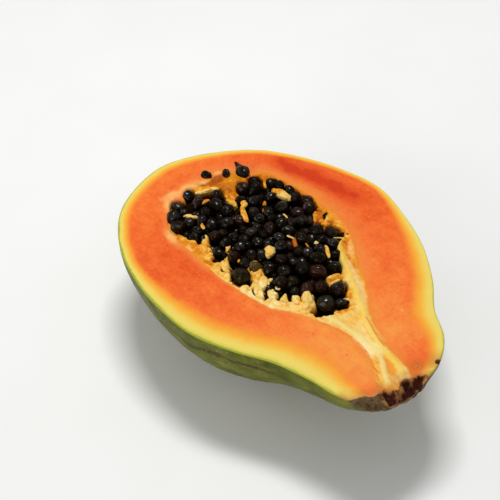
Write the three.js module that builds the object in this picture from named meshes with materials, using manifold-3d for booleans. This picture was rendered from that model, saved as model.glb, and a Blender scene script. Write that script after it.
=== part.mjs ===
// Half of a papaya, cut lengthwise, lying on its rounded back with the cut face up.
// Millimetres, +Z up. +X points to the stem end. The origin is on the surface that the
// fruit rests on, below the middle of its outline.
// Two pieces: the flesh with its skin, and the heap of seeds that fills its hollow.

import * as THREE from "three";
import { mergeVertices } from "three/addons/utils/BufferGeometryUtils.js";
import Module from "manifold-3d";

const wasm = await Module();
wasm.setup();

// ---- Driving dimensions ----

// Outline of the cut face, anticlockwise from the blossom end, as points of a smooth
// closed curve: broad in the middle, drawn in at the neck, blunt at the stem end.
const RIM = [
  [-82.5, -6], [-79, -21], [-70, -36.3], [-53.5, -48.3], [-33.5, -55], [-13.5, -57.2],
  [5.5, -56], [22.5, -49.6], [39.5, -40.5], [54, -36], [67.5, -33], [77.5, -27.5],
  [82, -17], [82.5, -6.5], [79, 7], [71, 17.3], [58.5, 24.5], [46, 35.4],
  [29.5, 46], [10.5, 53.3], [-8.5, 57.3], [-25.5, 54.3], [-45.5, 46], [-62.5, 34.6],
  [-74.5, 18.5], [-81, 3.5],
];

// Mouth of the seed hollow on the cut face: round towards the blossom end and drawn
// out to a point towards the stem.
const MOUTH = [
  [-67.5, -7], [-63, -18], [-49, -26.5], [-28, -29], [-8, -28], [9, -24.5], [22, -19.5],
  [33, -12.5], [38, -2], [33, 7], [20, 17], [6, 27], [-12, 32.5], [-33, 31.5],
  [-52, 26], [-64, 12],
];

const BACK_SHARE = 0.83; // depth of the back as a share of half the breadth there
const END_SHARE = 0.5; // the same at the stem end, where the back rises to the scar
const NECK_X = 56; // where the back starts to rise
const REST_AT = [-7, 0]; // where the fruit rests, on its widest part
const REST_TRIM = 0.8; // how much of the round back is flattened there

const HOLLOW_DEPTH = 23;
const SHAFT = 20; // how far the shaft that opens the hollow goes on above the cut face
const FAR_WALL = 0.5; // the hollow's wall on the +Y side drops steeply, like an ellipse
const NEAR_WALL = 1.4; // on the -Y side it starts as a gentle slope

const SEED = 6; // mean diameter of one seed in its jelly
const SEED_DOME = 2.4; // how far a seed stands out above the valleys between its neighbours
const DOME_LEAST = 0.7; // the flattest dome, as a share of that
const DOME_MOST = 1.3; // and the highest
const SHOULDER_HEIGHT = 0.75; // a dome's shoulder, as a share of its height
const SHOULDER_IN = 0.4; // and of the way in from its edge to its top
const SEED_STRAY = 1.3; // how far the corners between seeds are off a regular pattern
const FIT_GAP = 0.4; // between the heap and the wall of the hollow
const HEAP_RISE = 2.5; // the middle of the heap above the cut face, without the domes
const HEAP_EDGE = -1.5; // and its edge, below the cut face
const HEAP_FAR = 0.97; // the heap's outline as a share of the mouth, at the steep wall
const HEAP_NEAR = 0.87; // and at the gentle one

const SCAR_FROM = 70; // the corky stem scar starts here
const SCAR_LUMP = 1.2; // height of its lumps
const SCAR_GRAIN = 7; // and their size
// Pits where the fibres of the stalk have shrunk away: place on the cut face, radius.
const SCAR_PITS = [
  [78.5, -2, 2.4],
  [78.5, -10, 3.4],
  [76.5, -18.5, 2.8],
];
const PIT_RAISED = 0.35; // a pit's centre above the cut face, as a share of its radius

const AROUND = 88; // steps round an outline
const BACK_RINGS = 13;
const HOLLOW_RINGS = 9;
const MERGE_WITHIN = 1e-4; // points this close together are one

// ---- Curves and heights ----

/** Evenly spaced points of the smooth closed curve through a list of [x, y]. */
function closedCurve(points) {
  const knots = points.map(([x, y]) => new THREE.Vector3(x, y, 0));
  const curve = new THREE.CatmullRomCurve3(knots, true, "centripetal");
  return curve.getSpacedPoints(AROUND).slice(0, AROUND);
}

const rimBox = new THREE.Box3().setFromPoints(closedCurve(RIM));
const middle = rimBox.getCenter(new THREE.Vector3());
const rim = closedCurve(RIM).map((p) => p.sub(middle));
const rimEnd = Math.max(...rim.map((p) => p.x));
const mouth = closedCurve(MOUTH).map((p) => p.sub(middle));
const mouthBox = new THREE.Box3().setFromPoints(mouth);
const mouthCentre = mouthBox.getCenter(new THREE.Vector3());

/** Middle and half breadth of the fruit on the line across it at x. */
function sectionAt(x) {
  const crossings = [];
  rim.forEach((a, i) => {
    const b = rim[(i + 1) % AROUND];
    if (a.x <= x !== b.x <= x) {
      crossings.push(THREE.MathUtils.mapLinear(x, a.x, b.x, a.y, b.y));
    }
  });
  if (crossings.length < 2) return { y: 0, half: 0 };
  const low = Math.min(...crossings);
  const high = Math.max(...crossings);
  return { y: (low + high) / 2, half: (high - low) / 2 };
}

/** Depth of the skin below the cut face, from half-ellipse sections across the fruit. */
function backDepth(x, y) {
  const section = sectionAt(x);
  const rise = THREE.MathUtils.smoothstep(x, NECK_X, rimEnd);
  const share = THREE.MathUtils.lerp(BACK_SHARE, END_SHARE, rise);
  return share * Math.sqrt(Math.max(0, section.half ** 2 - (y - section.y) ** 2));
}

const deepest = Math.max(...rim.map((p) => backDepth(p.x, sectionAt(p.x).y)));
const CUT_Z = deepest - REST_TRIM; // height of the cut face

/** A value on the gentle wall at -Y, another on the steep one at +Y, blended between them. */
function bySide(near, far, out) {
  return THREE.MathUtils.lerp(near, far, (1 + out.y / out.length()) / 2);
}

/**
 * Small lumps from 0 to 1, of about the given size: two crossing waves, each bent by a
 * slower one, so that they repeat in no simple order.
 */
function lumps(u, v, size) {
  const k = Math.PI / size;
  const a = Math.sin(k * u + 1.7 * Math.sin(0.61 * k * v));
  const b = Math.sin(k * v + 1.3 * Math.sin(0.73 * k * u));
  return Math.abs(a * b);
}

/** A number from 0 to 1 that is always the same for the same place and kind. */
function chance(x, y, kind) {
  const place = 7919 * Math.round(10 * x) + 104729 * Math.round(10 * y);
  return THREE.MathUtils.seededRandom(place + kind);
}

// ---- Solids ----

/** A closed mesh from rings with equal numbers of points, and one point closing each end. */
function ringMesh(first, rings, last) {
  const steps = rings[0].length;
  const points = [first, ...rings.flat(), last];
  const at = (ring, i) => 1 + ring * steps + (i % steps);
  const faces = [];
  for (let i = 0; i < steps; i++) {
    faces.push(0, at(0, i), at(0, i + 1));
    for (let ring = 1; ring < rings.length; ring++) {
      faces.push(at(ring - 1, i), at(ring, i), at(ring, i + 1));
      faces.push(at(ring - 1, i), at(ring, i + 1), at(ring - 1, i + 1));
    }
    faces.push(at(rings.length - 1, i), points.length - 1, at(rings.length - 1, i + 1));
  }
  const geometry = new THREE.BufferGeometry().setFromPoints(points);
  geometry.setIndex(faces);
  return geometry;
}

/** Closed geometry as a manifold-3d solid. */
function solidOf(geometry) {
  const bare = geometry.clone();
  bare.deleteAttribute("normal");
  bare.deleteAttribute("uv");
  const merged = mergeVertices(bare, MERGE_WITHIN);
  return new wasm.Manifold(
    new wasm.Mesh({
      numProp: 3,
      vertProperties: new Float32Array(merged.attributes.position.array),
      triVerts: new Uint32Array(merged.index.array),
    }),
  );
}

/** A manifold-3d solid as geometry. */
function geometryOf(solid) {
  const made = solid.getMesh();
  const geometry = new THREE.BufferGeometry();
  geometry.setAttribute("position", new THREE.BufferAttribute(made.vertProperties, 3));
  geometry.setIndex(new THREE.BufferAttribute(made.triVerts, 1));
  geometry.computeVertexNormals();
  return geometry;
}

/** The half fruit without its hollow: flat above, round below, lumpy at the stem scar. */
function bodySolid() {
  const rest = new THREE.Vector3(...REST_AT, 0);
  const rings = [];
  for (let ring = 0; ring < BACK_RINGS; ring++) {
    const share = Math.cos((ring / BACK_RINGS) * (Math.PI / 2));
    rings.push(
      rim.map((p) => {
        const { x, y } = rest.clone().lerp(p, share);
        const z = ring ? Math.max(0, CUT_Z - backDepth(x, y)) : CUT_Z;
        const scar = THREE.MathUtils.smoothstep(x, SCAR_FROM, rimEnd);
        return new THREE.Vector3(x - scar * SCAR_LUMP * lumps(y, z, SCAR_GRAIN), y, z);
      }),
    );
  }
  return solidOf(ringMesh(rest.clone().setZ(CUT_Z), rings, rest));
}

/**
 * A bowl with a shaft above it. Its wall follows the hollow, drawn in by the inset, out to
 * the given shares of the mouth at the gentle and at the steep side.
 */
function bowlSolid(nearReach, farReach, inset) {
  const above = CUT_Z + SHAFT;
  const rings = [];
  for (let ring = 0; ring < HOLLOW_RINGS; ring++) {
    rings.push(
      mouth.map((p) => {
        const out = p.clone().sub(mouthCentre);
        const reach = bySide(nearReach, farReach, out);
        const share = reach * Math.cos((ring / HOLLOW_RINGS) * (Math.PI / 2));
        const depth = HOLLOW_DEPTH * (1 - share ** 2) ** bySide(NEAR_WALL, FAR_WALL, out);
        const place = out.clone().setLength(out.length() * share - inset).add(mouthCentre);
        return place.setZ(CUT_Z - depth + inset);
      }),
    );
  }
  rings.unshift(rings[0].map((p) => p.clone().setZ(above)));
  const top = mouthCentre.clone().setZ(above);
  const bottom = mouthCentre.clone().setZ(CUT_Z - HOLLOW_DEPTH + inset);
  return solidOf(ringMesh(top, rings, bottom));
}

/** Height of the heap without its domes: highest in the middle, lower at its edge. */
function heapHeight(x, y) {
  const half = mouthBox.getSize(new THREE.Vector3()).divideScalar(2);
  const out = Math.hypot((x - mouthCentre.x) / half.x, (y - mouthCentre.y) / half.y);
  return CUT_Z + THREE.MathUtils.lerp(HEAP_RISE, HEAP_EDGE, Math.min(1, out) ** 2);
}

/** A six-sided column with one seed's dome on top; neighbours meet along their walls. */
function seedColumn(x, y) {
  const corners = [];
  for (let i = 0; i < 6; i++) {
    const turn = ((i + 0.5) * Math.PI) / 3;
    // Rounded, so that the three columns which share a corner agree to the last digit,
    // and pushed aside by an amount that only depends on the place.
    const cx = Math.round(10 * (x + (SEED / Math.sqrt(3)) * Math.cos(turn))) / 10;
    const cy = Math.round(10 * (y + (SEED / Math.sqrt(3)) * Math.sin(turn))) / 10;
    const px = cx + SEED_STRAY * (2 * chance(cx, cy, 1) - 1);
    const py = cy + SEED_STRAY * (2 * chance(cx, cy, 2) - 1);
    corners.push(new THREE.Vector3(px, py, heapHeight(px, py)));
  }
  const centre = new THREE.Vector3();
  corners.forEach((p) => centre.addScaledVector(p, 1 / corners.length));
  const dome = SEED_DOME * THREE.MathUtils.lerp(DOME_LEAST, DOME_MOST, chance(x, y, 3));
  const shoulders = corners.map((p) => {
    return p.clone().lerp(centre, SHOULDER_IN).setZ(p.z + SHOULDER_HEIGHT * dome);
  });
  const top = centre.clone().setZ(centre.z + dome);
  const foot = corners.map((p) => p.clone().setZ(0));
  return solidOf(ringMesh(top, [shoulders, corners, foot], centre.clone().setZ(0)));
}

/** The heap: a close field of seed columns, cut to a bowl that sits in the hollow. */
function heapSolid() {
  const columns = [];
  const rowStep = (SEED * Math.sqrt(3)) / 2;
  for (let y = mouthBox.min.y - SEED, row = 0; y < mouthBox.max.y + SEED; y += rowStep, row++) {
    for (let x = mouthBox.min.x - SEED; x < mouthBox.max.x + SEED; x += SEED) {
      columns.push(seedColumn(x + (row % 2) * (SEED / 2), y));
    }
  }
  return wasm.Manifold.union(columns).intersect(bowlSolid(HEAP_NEAR, HEAP_FAR, FIT_GAP));
}

/** The flesh with its skin: the body less the hollow and less the pits in the scar. */
function fleshSolid() {
  let solid = bodySolid().subtract(bowlSolid(1, 1, 0));
  for (const [x, y, radius] of SCAR_PITS) {
    const pit = new THREE.IcosahedronGeometry(radius, 1);
    pit.translate(x - middle.x, y - middle.y, CUT_Z + PIT_RAISED * radius);
    solid = solid.subtract(solidOf(pit));
  }
  return solid;
}

// ---- The object ----

function fleshMaterial() {
  return new THREE.MeshStandardMaterial({ color: 0xee6a35, roughness: 0.45, metalness: 0 });
}

function seedMaterial() {
  return new THREE.MeshStandardMaterial({ color: 0x17130f, roughness: 0.3, metalness: 0 });
}

function named(name, solid, material) {
  const mesh = new THREE.Mesh(geometryOf(solid), material);
  mesh.name = name;
  return mesh;
}

const group = new THREE.Group();
group.add(named("papaya_flesh", fleshSolid(), fleshMaterial()));
group.add(named("seed_heap", heapSolid(), seedMaterial()));

export default group;
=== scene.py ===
# %% [markdown]
# # Half a papaya, cut lengthwise
#
# The fruit lies on its rounded back with the cut face up. From the outside in it has a thin green
# skin, a yellow layer, orange-red flesh, and a hollow full of round dark seeds, each in a thin clear
# jelly. Pale fibres run from the hollow to the stem.
#
# The construction model fixes the sizes. It is loaded first, as a frame, and everything here is made
# around it in the same place: +X points to the stem end, +Z up, and the fruit rests on z = 0.

# %% Load the frame
import itertools

import bmesh
import bpy
import numpy as np
from mathutils import Matrix, Vector


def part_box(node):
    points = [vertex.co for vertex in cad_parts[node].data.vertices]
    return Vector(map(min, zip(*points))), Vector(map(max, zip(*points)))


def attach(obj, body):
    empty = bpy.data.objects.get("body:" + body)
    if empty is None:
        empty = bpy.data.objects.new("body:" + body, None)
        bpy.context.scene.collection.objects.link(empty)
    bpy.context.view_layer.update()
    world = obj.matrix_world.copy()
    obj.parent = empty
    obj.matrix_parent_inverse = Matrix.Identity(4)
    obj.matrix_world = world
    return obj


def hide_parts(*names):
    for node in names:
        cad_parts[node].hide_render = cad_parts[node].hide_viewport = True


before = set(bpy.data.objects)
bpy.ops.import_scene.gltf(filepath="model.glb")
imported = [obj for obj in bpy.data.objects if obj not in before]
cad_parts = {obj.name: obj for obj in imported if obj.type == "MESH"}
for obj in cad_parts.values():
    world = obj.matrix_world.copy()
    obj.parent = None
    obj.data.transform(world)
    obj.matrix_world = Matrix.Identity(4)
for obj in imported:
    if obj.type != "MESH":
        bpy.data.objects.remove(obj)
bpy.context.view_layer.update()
print("frame:", sorted(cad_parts))

# %% [markdown]
# Lengths below are in millimetres, because a seed of 6 mm is easier to think about than one of
# 0.006 m. Meshes are scaled to metres when they are made. The height of the cut face and the names
# of the two parts come from the frame.

# %% Sizes
MM = 0.001
FLESH = "papaya_flesh"
HEAP = "seed_heap"
CUT_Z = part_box(FLESH)[1].z / MM
print(f"the cut face is {CUT_Z:.2f} mm above the floor")

# %% [markdown]
# ## Outlines
#
# Two closed lines hold the whole shape together: the rim of the cut face and the mouth of the seed
# hollow. A papaya is broad in the middle, drawn in at the neck and blunt at the stem. A centripetal
# Catmull-Rom spline passes through a few places without loops, so an outline stays smooth and is easy
# to change. The construction model uses the same one.

# %% A smooth curve through places
def smooth_curve(knots, steps, closed=True):
    """Points on the smooth curve through the knots, with so many steps from one to the next."""
    knots = np.array(knots, float)
    if not closed:
        ends = [2 * knots[0] - knots[1], 2 * knots[-1] - knots[-2]]
        knots = np.vstack([ends[0], knots, ends[1]])
    before, after, beyond = (np.roll(knots, shift, 0) for shift in (1, -1, -2))
    t0, t1, t2 = (
        np.sqrt(np.linalg.norm(b - a, axis=1))[:, None]
        for a, b in ((before, knots), (knots, after), (after, beyond))
    )
    leave = (knots - before) / t0 - (after - before) / (t0 + t1) + (after - knots) / t1
    arrive = (after - knots) / t1 - (beyond - knots) / (t1 + t2) + (beyond - after) / t2
    s = (np.arange(steps) / steps)[:, None]
    parts = [
        (2 * s**3 - 3 * s**2 + 1) * a + (s**3 - 2 * s**2 + s) * m
        + (3 * s**2 - 2 * s**3) * b + (s**3 - s**2) * n
        for a, b, m, n in zip(knots, after, leave * t1, arrive * t1)
    ]
    if closed:
        return np.vstack(parts)
    return np.vstack(parts[1:-2] + [knots[-2]])


# %% The rim and the mouth
RIM = [
    (-82.5, -6), (-79, -21), (-70, -36.3), (-53.5, -48.3), (-33.5, -55), (-13.5, -57.2), (5.5, -56),
    (22.5, -49.6), (39.5, -40.5), (54, -36), (67.5, -33), (77.5, -27.5), (82, -17), (82.5, -6.5), (79, 7),
    (71, 17.3), (58.5, 24.5), (46, 35.4), (29.5, 46), (10.5, 53.3), (-8.5, 57.3), (-25.5, 54.3), (-45.5, 46),
    (-62.5, 34.6), (-74.5, 18.5), (-81, 3.5),
]
MOUTH = [
    (-67.5, -7), (-63, -18), (-49, -26.5), (-28, -29), (-8, -28), (9, -24.5), (22, -19.5), (33, -12.5),
    (38, -2), (33, 7), (20, 17), (6, 27), (-12, 32.5), (-33, 31.5), (-52, 26), (-64, 12),
]
rim, mouth = smooth_curve(RIM, 20), smooth_curve(MOUTH, 20)
MIDDLE = np.array([-14.75, 1.75])  # of the mouth; both outlines are seen once in each direction
print("rim", np.ptp(rim, axis=0).round(1), "mouth", np.ptp(mouth, axis=0).round(1), "mm")

# %% [markdown]
# Finishes and small shapes depend on how far a point is from one of these lines. Three helpers
# measure that: the distance to a line, the depth inside a loop, and the reach of a loop in each
# direction from the middle.

# %% Measuring from lines
AT_ONCE = 4000  # places measured in one go, which keeps the arrays small


def nearest_on(line, places, closed=True):
    """Distance from each place to a line, and where on the line that is, as a knot number."""
    start = line if closed else line[:-1]
    step = np.roll(line, -1, 0)[: len(start)] - start
    distance, where = np.empty((2, len(places)))
    for first in range(0, len(places), AT_ONCE):
        part = slice(first, first + AT_ONCE)
        gap = places[part, None] - start
        share = ((gap * step).sum(2) / (step**2).sum(1)).clip(0, 1)
        far = np.linalg.norm(gap - share[..., None] * step, axis=2)
        pick = far.argmin(1)
        row = np.arange(len(pick))
        distance[part] = far[row, pick]
        where[part] = pick + share[row, pick]
    return distance, where


def depth_in(loop, places):
    """How deep inside a loop each place is; negative outside."""
    distance, _ = nearest_on(loop, places)
    x, y = places[:, :1], places[:, 1:2]
    (ax, ay), (bx, by) = loop.T, np.roll(loop, -1, 0).T
    crosses = (ay <= y) != (by <= y)
    rise = np.where(by == ay, 1.0, by - ay)
    right = crosses & (ax + (y - ay) * (bx - ax) / rise > x)
    return np.where(right.sum(1) % 2 == 1, distance, -distance)


def polar(places):
    """Direction from the middle of the mouth, in radians, and distance."""
    out = places[:, :2] - MIDDLE
    return np.arctan2(out[:, 1], out[:, 0]), np.linalg.norm(out, axis=1)


def reach(loop, angle):
    """Distance from the middle to the loop in each direction."""
    loop_angle, loop_reach = polar(loop)
    return np.interp(angle, loop_angle, loop_reach, period=2 * np.pi)


# %% [markdown]
# Nothing on a fruit is even. Lattice noise gives each cell of a grid a fixed chance value and blends
# between them, so lumps of a chosen size come out the same on every run.

# %% Lumps of a chosen size
def lumpy(places, size, seed):
    """Smooth noise from -1 to 1 with lumps of about that size in millimetres."""
    scaled = places / size
    cell = np.floor(scaled).astype(np.int64)
    part = scaled - cell
    part = part**2 * (3 - 2 * part)
    primes = np.array([73856093, 19349663, 83492791])[: places.shape[1]]
    total = np.zeros(len(places))
    for corner in itertools.product((0, 1), repeat=places.shape[1]):
        mixed = ((cell + corner) * primes).sum(1) ^ (seed * 2654435761)
        mixed = ((mixed ^ (mixed >> 13)) * 1540483477) & 0xFFFFFFFF
        value = ((mixed ^ (mixed >> 15)) & 0xFFFF) / 0x7FFF - 1
        total += value * np.where(corner, part, 1 - part).prod(1)
    return total


def pillows(places, seed):
    """Rounded lobes about 1 unit across and of chance heights: 0 in the creases between them."""
    cell = np.floor(places)
    gaps, heights = [], []
    for corner in itertools.product((-1, 0, 1), repeat=2):
        home = cell + corner
        chance = np.column_stack([lumpy(home, 1.0, seed + i) for i in range(3)])
        gaps.append(np.linalg.norm(places - home - 0.5 - 0.45 * chance[:, :2], axis=1))
        heights.append(0.7 + 0.3 * chance[:, 2])
    order = np.argsort(gaps, axis=0)
    nearest, second = np.take_along_axis(np.array(gaps), order[:2], axis=0)
    height = np.take_along_axis(np.array(heights), order[:1], axis=0)[0]
    return height * np.sqrt(np.clip((second - nearest) / 0.55, 0, 1))


def smooth_step(value, low, high):
    """0 below low, 1 above high, and a smooth change between."""
    share = np.clip((value - low) / (high - low), 0, 1)
    return share**2 * (3 - 2 * share)


def spot(places, x, y, size):
    """1 at one place, fading to nothing a few sizes away from it."""
    return np.exp(-((places - (x, y)) ** 2).sum(1) / size**2)


# %% [markdown]
# ## The back of the fruit
#
# Cut across, the back is half an ellipse: as wide as the cut face there, and a little less deep than
# half of that. Towards the stem it rises to the scar, and it is flattened where it rests. The depth at
# any place is worked out from the section through it.

# %% Depth of the back
BACK_SHARE, END_SHARE = 0.83, 0.5  # depth against half width, in the middle and at the stem
NECK_X = 56.0
REST_AT = np.array([-7.0, 0.0])

blossom, stem = rim[:, 0].argmin(), rim[:, 0].argmax()
from_blossom = np.roll(rim, -blossom, 0)
stem_at = (stem - blossom) % len(rim)
low_side, high_side = from_blossom[: stem_at + 1], from_blossom[stem_at:][::-1]


def back_depth(places):
    """Depth of the skin below the cut face under each place."""
    x, y = places[:, 0], places[:, 1]
    low = np.interp(x, *low_side.T)
    high = np.interp(x, *high_side.T)
    half = (high - low) / 2
    share = BACK_SHARE + (END_SHARE - BACK_SHARE) * smooth_step(x, NECK_X, rim[:, 0].max())
    return share * np.sqrt(np.clip(half**2 - (y - (low + high) / 2) ** 2, 0, None))


# %% [markdown]
# ## The wall of the hollow
#
# Where the hollow opens at +Y its wall drops steeply. On the other side it starts as a gentle slope,
# which leaves the soft lining there in view. One number does both: the power to which the bowl's
# profile is raised, which turns with the direction.

# %% Depth of the hollow
HOLLOW_DEPTH = 23.0
STEEP, GENTLE = 0.5, 1.4


def by_side(gentle, steep, angle):
    """A value at -Y, another at +Y, blended between them."""
    return gentle + (steep - gentle) * (1 + np.sin(angle)) / 2


def hollow_depth(share, angle, lip):
    """Depth of the wall at a share of the mouth's reach; at the mouth it is the lip's own."""
    return lip + (HOLLOW_DEPTH - lip) * (1 - share**2) ** by_side(GENTLE, STEEP, angle)


# %% [markdown]
# ## One skin over everything
#
# The flesh is one closed sheet of rings round the middle: from the bottom of the hollow up its wall,
# over the rounded lip, across the cut face, over the crisp rim, and down the back to the spot that
# it rests on. A ring has the same number of points everywhere, so neighbours join into quads. The
# points are closer together towards the stem, where the corky scar needs small shapes.

# %% Directions and rings
AROUND = 400
LIP = 1.2
RIM_BEVEL = 0.45
CROWDING, CROWDED_ARC = 2.4, 0.42  # extra points at the stem, and over what angle
fine = np.linspace(-np.pi, np.pi, 4001)
weight = np.cumsum(1 + CROWDING * np.exp(-((fine / CROWDED_ARC) ** 2)))
angles = np.interp(np.arange(AROUND) / AROUND * weight[-1], weight, fine)
ways = np.stack([np.cos(angles), np.sin(angles)], 1)

mouth_reach = reach(mouth, angles)
edge = MIDDLE + mouth_reach[:, None] * ways
mouth_reach += 0.45 * lumpy(edge, 5.0, 1) + 0.25 * lumpy(edge, 2.1, 2)
rim_reach = reach(rim, angles)
lip_size = by_side(0.35, LIP, angles)


def ring(out, height, ways=ways):
    """A ring of points at that distance out from the middle and height above the floor."""
    flat = MIDDLE + np.broadcast_to(out, len(ways))[:, None] * ways
    return np.column_stack([flat, np.broadcast_to(height, len(ways))])


# %% Wall, lip, cut face and rim
rings, part_of = [], []
for turn in np.linspace(87, 8, 24):
    share = np.cos(np.radians(turn))
    depth = hollow_depth(share, angles, lip_size)
    rings.append(ring(mouth_reach * share, CUT_Z - depth))
    part_of.append("wall")
for turn in (90, 68, 45, 22):
    sin, cos = np.sin(np.radians(turn)), np.cos(np.radians(turn))
    rings.append(ring(mouth_reach + lip_size * (1 - sin), CUT_Z - lip_size * (1 - cos)))
    part_of.append("lip")
cut_from, cut_to = mouth_reach + lip_size, rim_reach - RIM_BEVEL
for u in np.linspace(0, 1, 60):
    share = 0.55 * u + 0.45 * (1 - np.cos(np.pi * u)) / 2
    rings.append(ring(cut_from + (cut_to - cut_from) * share, CUT_Z))
    part_of.append("cut")
for turn in (30, 60, 90):
    sin, cos = np.sin(np.radians(turn)), np.cos(np.radians(turn))
    rings.append(ring(cut_to + RIM_BEVEL * sin, CUT_Z - RIM_BEVEL * (1 - cos)))
    part_of.append("rim")

# %% The back
rim_places = rings[-1][:, :2]
for turn in np.radians(np.concatenate([[1.5, 2.6], np.linspace(4, 89, 74)])):
    flat = REST_AT + (rim_places - REST_AT) * np.cos(turn)
    z = np.clip(CUT_Z - back_depth(flat), 0, CUT_Z - 1.3 * RIM_BEVEL)
    rings.append(np.column_stack([flat, z]))
    part_of.append("back")
points = np.vstack([[*MIDDLE, CUT_Z - HOLLOW_DEPTH], *rings, [*REST_AT, 0]])
part = np.array(["wall", *np.repeat(part_of, AROUND), "back"])
print(len(rings), "rings,", len(points), "points")

# %% [markdown]
# ## Lines and patches on the cut face
#
# The strands that fed the fruit run from the hollow to the stem as two pale cords, each with a thin
# red line beside it. Soft pale tissue lies round the hollow and between the cords. The seeds lie in a
# pool with a torn edge, and tongues of the tissue reach in between them. A long bruise darkens the
# far side. At the stem end brown cork takes the place of flesh, with pits where the fibres of the
# stalk have shrunk away. Each is a line or a loop of a few places, so all of them can be moved.

# %% Strands
LINES = {
    "upper": [(4.6, 21.2), (8, 18.6), (11.6, 17), (18, 14), (24.6, 11), (31, 8), (37.6, 4.6), (44, 1.2),
        (50, -1.6), (58, -4.2), (66, -5.6), (74, -7)],
    "lower": [(31, -10.5), (37, -9), (44, -8), (51, -7.3), (58, -7), (64, -9), (69, -12.3), (74, -15)],
    "far_hair": [(44, 1), (48, 0), (52, -1.4), (56, -2.6), (60, -3.6)],
    "pale_hair": [(43, 2.6), (47, 1.2), (52, -0.1), (58, -1.4)],
    "near_hair": [(35, -13.4), (38, -12), (43, -10.5), (50, -9.7), (56, -10.1), (61, -12), (66, -14),
        (71, -16.6)],
    "mid_hair": [(46, -2.2), (51, -3.8), (56, -5.1)],
    "ridge": [(16, 16.8), (21, 14.8), (26.5, 12.2), (32, 9.2), (36.5, 6.4)],
    "bruise": [(-50, 36.5), (-42, 37.4), (-36, 39.8), (-28, 41.6), (-20, 43.2), (-12, 45)],
}
LINES = {name: smooth_curve(knots, 8, closed=False) for name, knots in LINES.items()}

# %% The soft tissue and the pool of seeds
TISSUE = smooth_curve([
    (-57.5, 15.5), (-60.5, 11), (-62, 8), (-60.5, 4), (-62, 0.5), (-63.6, -3), (-62, -5), (-59, -8),
    (-58, -14), (-57, -18), (-53, -22), (-49, -25), (-46, -27.6), (-43, -28), (-38, -28.3), (-30, -28.2),
    (-20, -28.3), (-10, -28.4), (-3, -27.3), (5, -26.3), (10, -25), (16, -23.4), (20, -20.6), (25, -17.5),
    (30, -15), (36, -12.7), (42, -10.8), (50, -10.1), (57, -10.7), (64, -13.8), (71, -17.4), (77, -17),
    (80, -10), (77, -6.2), (70, -4), (60, -3.5), (52, -0.8), (45, 2.4), (39, 6.6), (31, 12.3), (22, 17.2),
    (13, 22.3), (7, 25.5), (3, 28), (-3, 29.5), (-8, 30.5), (-14, 30.8), (-18, 30.5), (-22, 31.5), (-27, 31),
    (-34, 30), (-40, 28.8), (-46, 27), (-50, 24), (-51.5, 20), (-53, 16.5),
], 5)
POOL = smooth_curve([
    (-63, -5.5), (-61, -9), (-57.5, -11.3), (-60, -13.5), (-60.3, -16.5), (-58.5, -18.2), (-56, -20),
    (-54.5, -22), (-51.5, -24.5), (-48, -25.5), (-45, -27), (-43, -26), (-41, -24), (-37.5, -23.8),
    (-35, -22.3), (-33, -22.6), (-33.4, -20.8), (-35.5, -17.5), (-33, -17), (-29, -19), (-25.5, -21),
    (-22.5, -22), (-20.5, -24), (-19.3, -22.5), (-19.3, -20.5), (-21, -17), (-24, -15.5), (-23.5, -13),
    (-21.5, -13.5), (-20, -16), (-17.5, -18.5), (-14, -20), (-11, -22.5), (-8, -25), (-5, -26), (-2, -25),
    (-0.7, -23), (-1, -20.5), (-4, -18.8), (-7, -17.3), (-8.5, -15.5), (-9.5, -13), (-8, -11), (-5.3, -10.8),
    (-4.5, -12.5), (-2.5, -14), (0, -15), (3, -14.2), (5, -13.3), (5.3, -15.5), (6.3, -18), (7.8, -20.8),
    (10, -21.5), (9.6, -20.4), (8.2, -19), (7.1, -17), (8.5, -16), (11.2, -16.4), (12.3, -17.4),
    (13.6, -18.3), (13, -16), (12.6, -13.5), (14.5, -13.7), (17, -14.6), (15.8, -12.5), (18, -10.8),
    (19.8, -10.8), (19, -8.5), (20.5, -6.3), (23, -6.5), (25.8, -8.3), (27.3, -10.5), (27.8, -12.5),
    (29, -11.5), (30.7, -11.8), (31.5, -10), (33, -7), (32.3, -4.5), (33.8, -1.5), (34, 0.5), (32, 1.3),
    (30, 0.9), (29.5, 3), (27, 6), (24, 8), (21.8, 6.8), (21.3, 4), (22.5, 1.5), (20, 1.3), (17, 3),
    (16.3, 5), (18.2, 7), (18.7, 9), (17, 12), (14, 14), (11, 16), (8, 18), (5.5, 20.3), (4.6, 22.4),
    (3.5, 24.6), (0, 26.3), (-3, 26), (-4.5, 25), (-5, 22), (-8, 22.8), (-11, 21.5), (-12.5, 23.5),
    (-15.5, 24.5), (-16, 26), (-17.5, 28.5), (-20, 29.8), (-24, 31), (-26, 29.5), (-28.5, 28), (-30, 29),
    (-34, 28.8), (-37, 27.5), (-40, 27.2), (-43, 26.5), (-45.2, 25), (-44.5, 23.5), (-41, 20), (-44, 21),
    (-46.5, 21.8), (-49, 22), (-50.3, 20), (-50, 18), (-49, 16), (-50.5, 14), (-49.5, 11), (-47, 9),
    (-44, 8.6), (-42.3, 7), (-40.5, 4.6), (-38.6, 2.2), (-41, 1.5), (-44, 1.2), (-46, 1.5), (-48, 2.5),
    (-51, 4), (-53, 4.8), (-54.8, 3.5), (-55, 0.5), (-56, -1.5), (-57, -4), (-60, -4.8),
], 3)
print(len(POOL), "places round the pool of seeds")

# %% Patches
ISLAND = smooth_curve([
    (61, -8), (64.5, -6.9), (69, -7.2), (72.3, -8.8), (72, -11.6), (68, -11.2), (64, -9.6),
], 6)
CORK = smooth_curve([
    (69, -35), (71.4, -30), (73, -26.8), (75, -23.6), (75.8, -20.8), (75.2, -18.2), (77, -16.6),
    (78.8, -14.6), (77.4, -13), (76.2, -10.8), (76.8, -8.8), (78.6, -7.4), (78.2, -4.8), (79.4, -2.4),
    (81.5, -0.9), (88, -3), (90, -18), (84, -34), (74, -38),
], 6)
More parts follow.
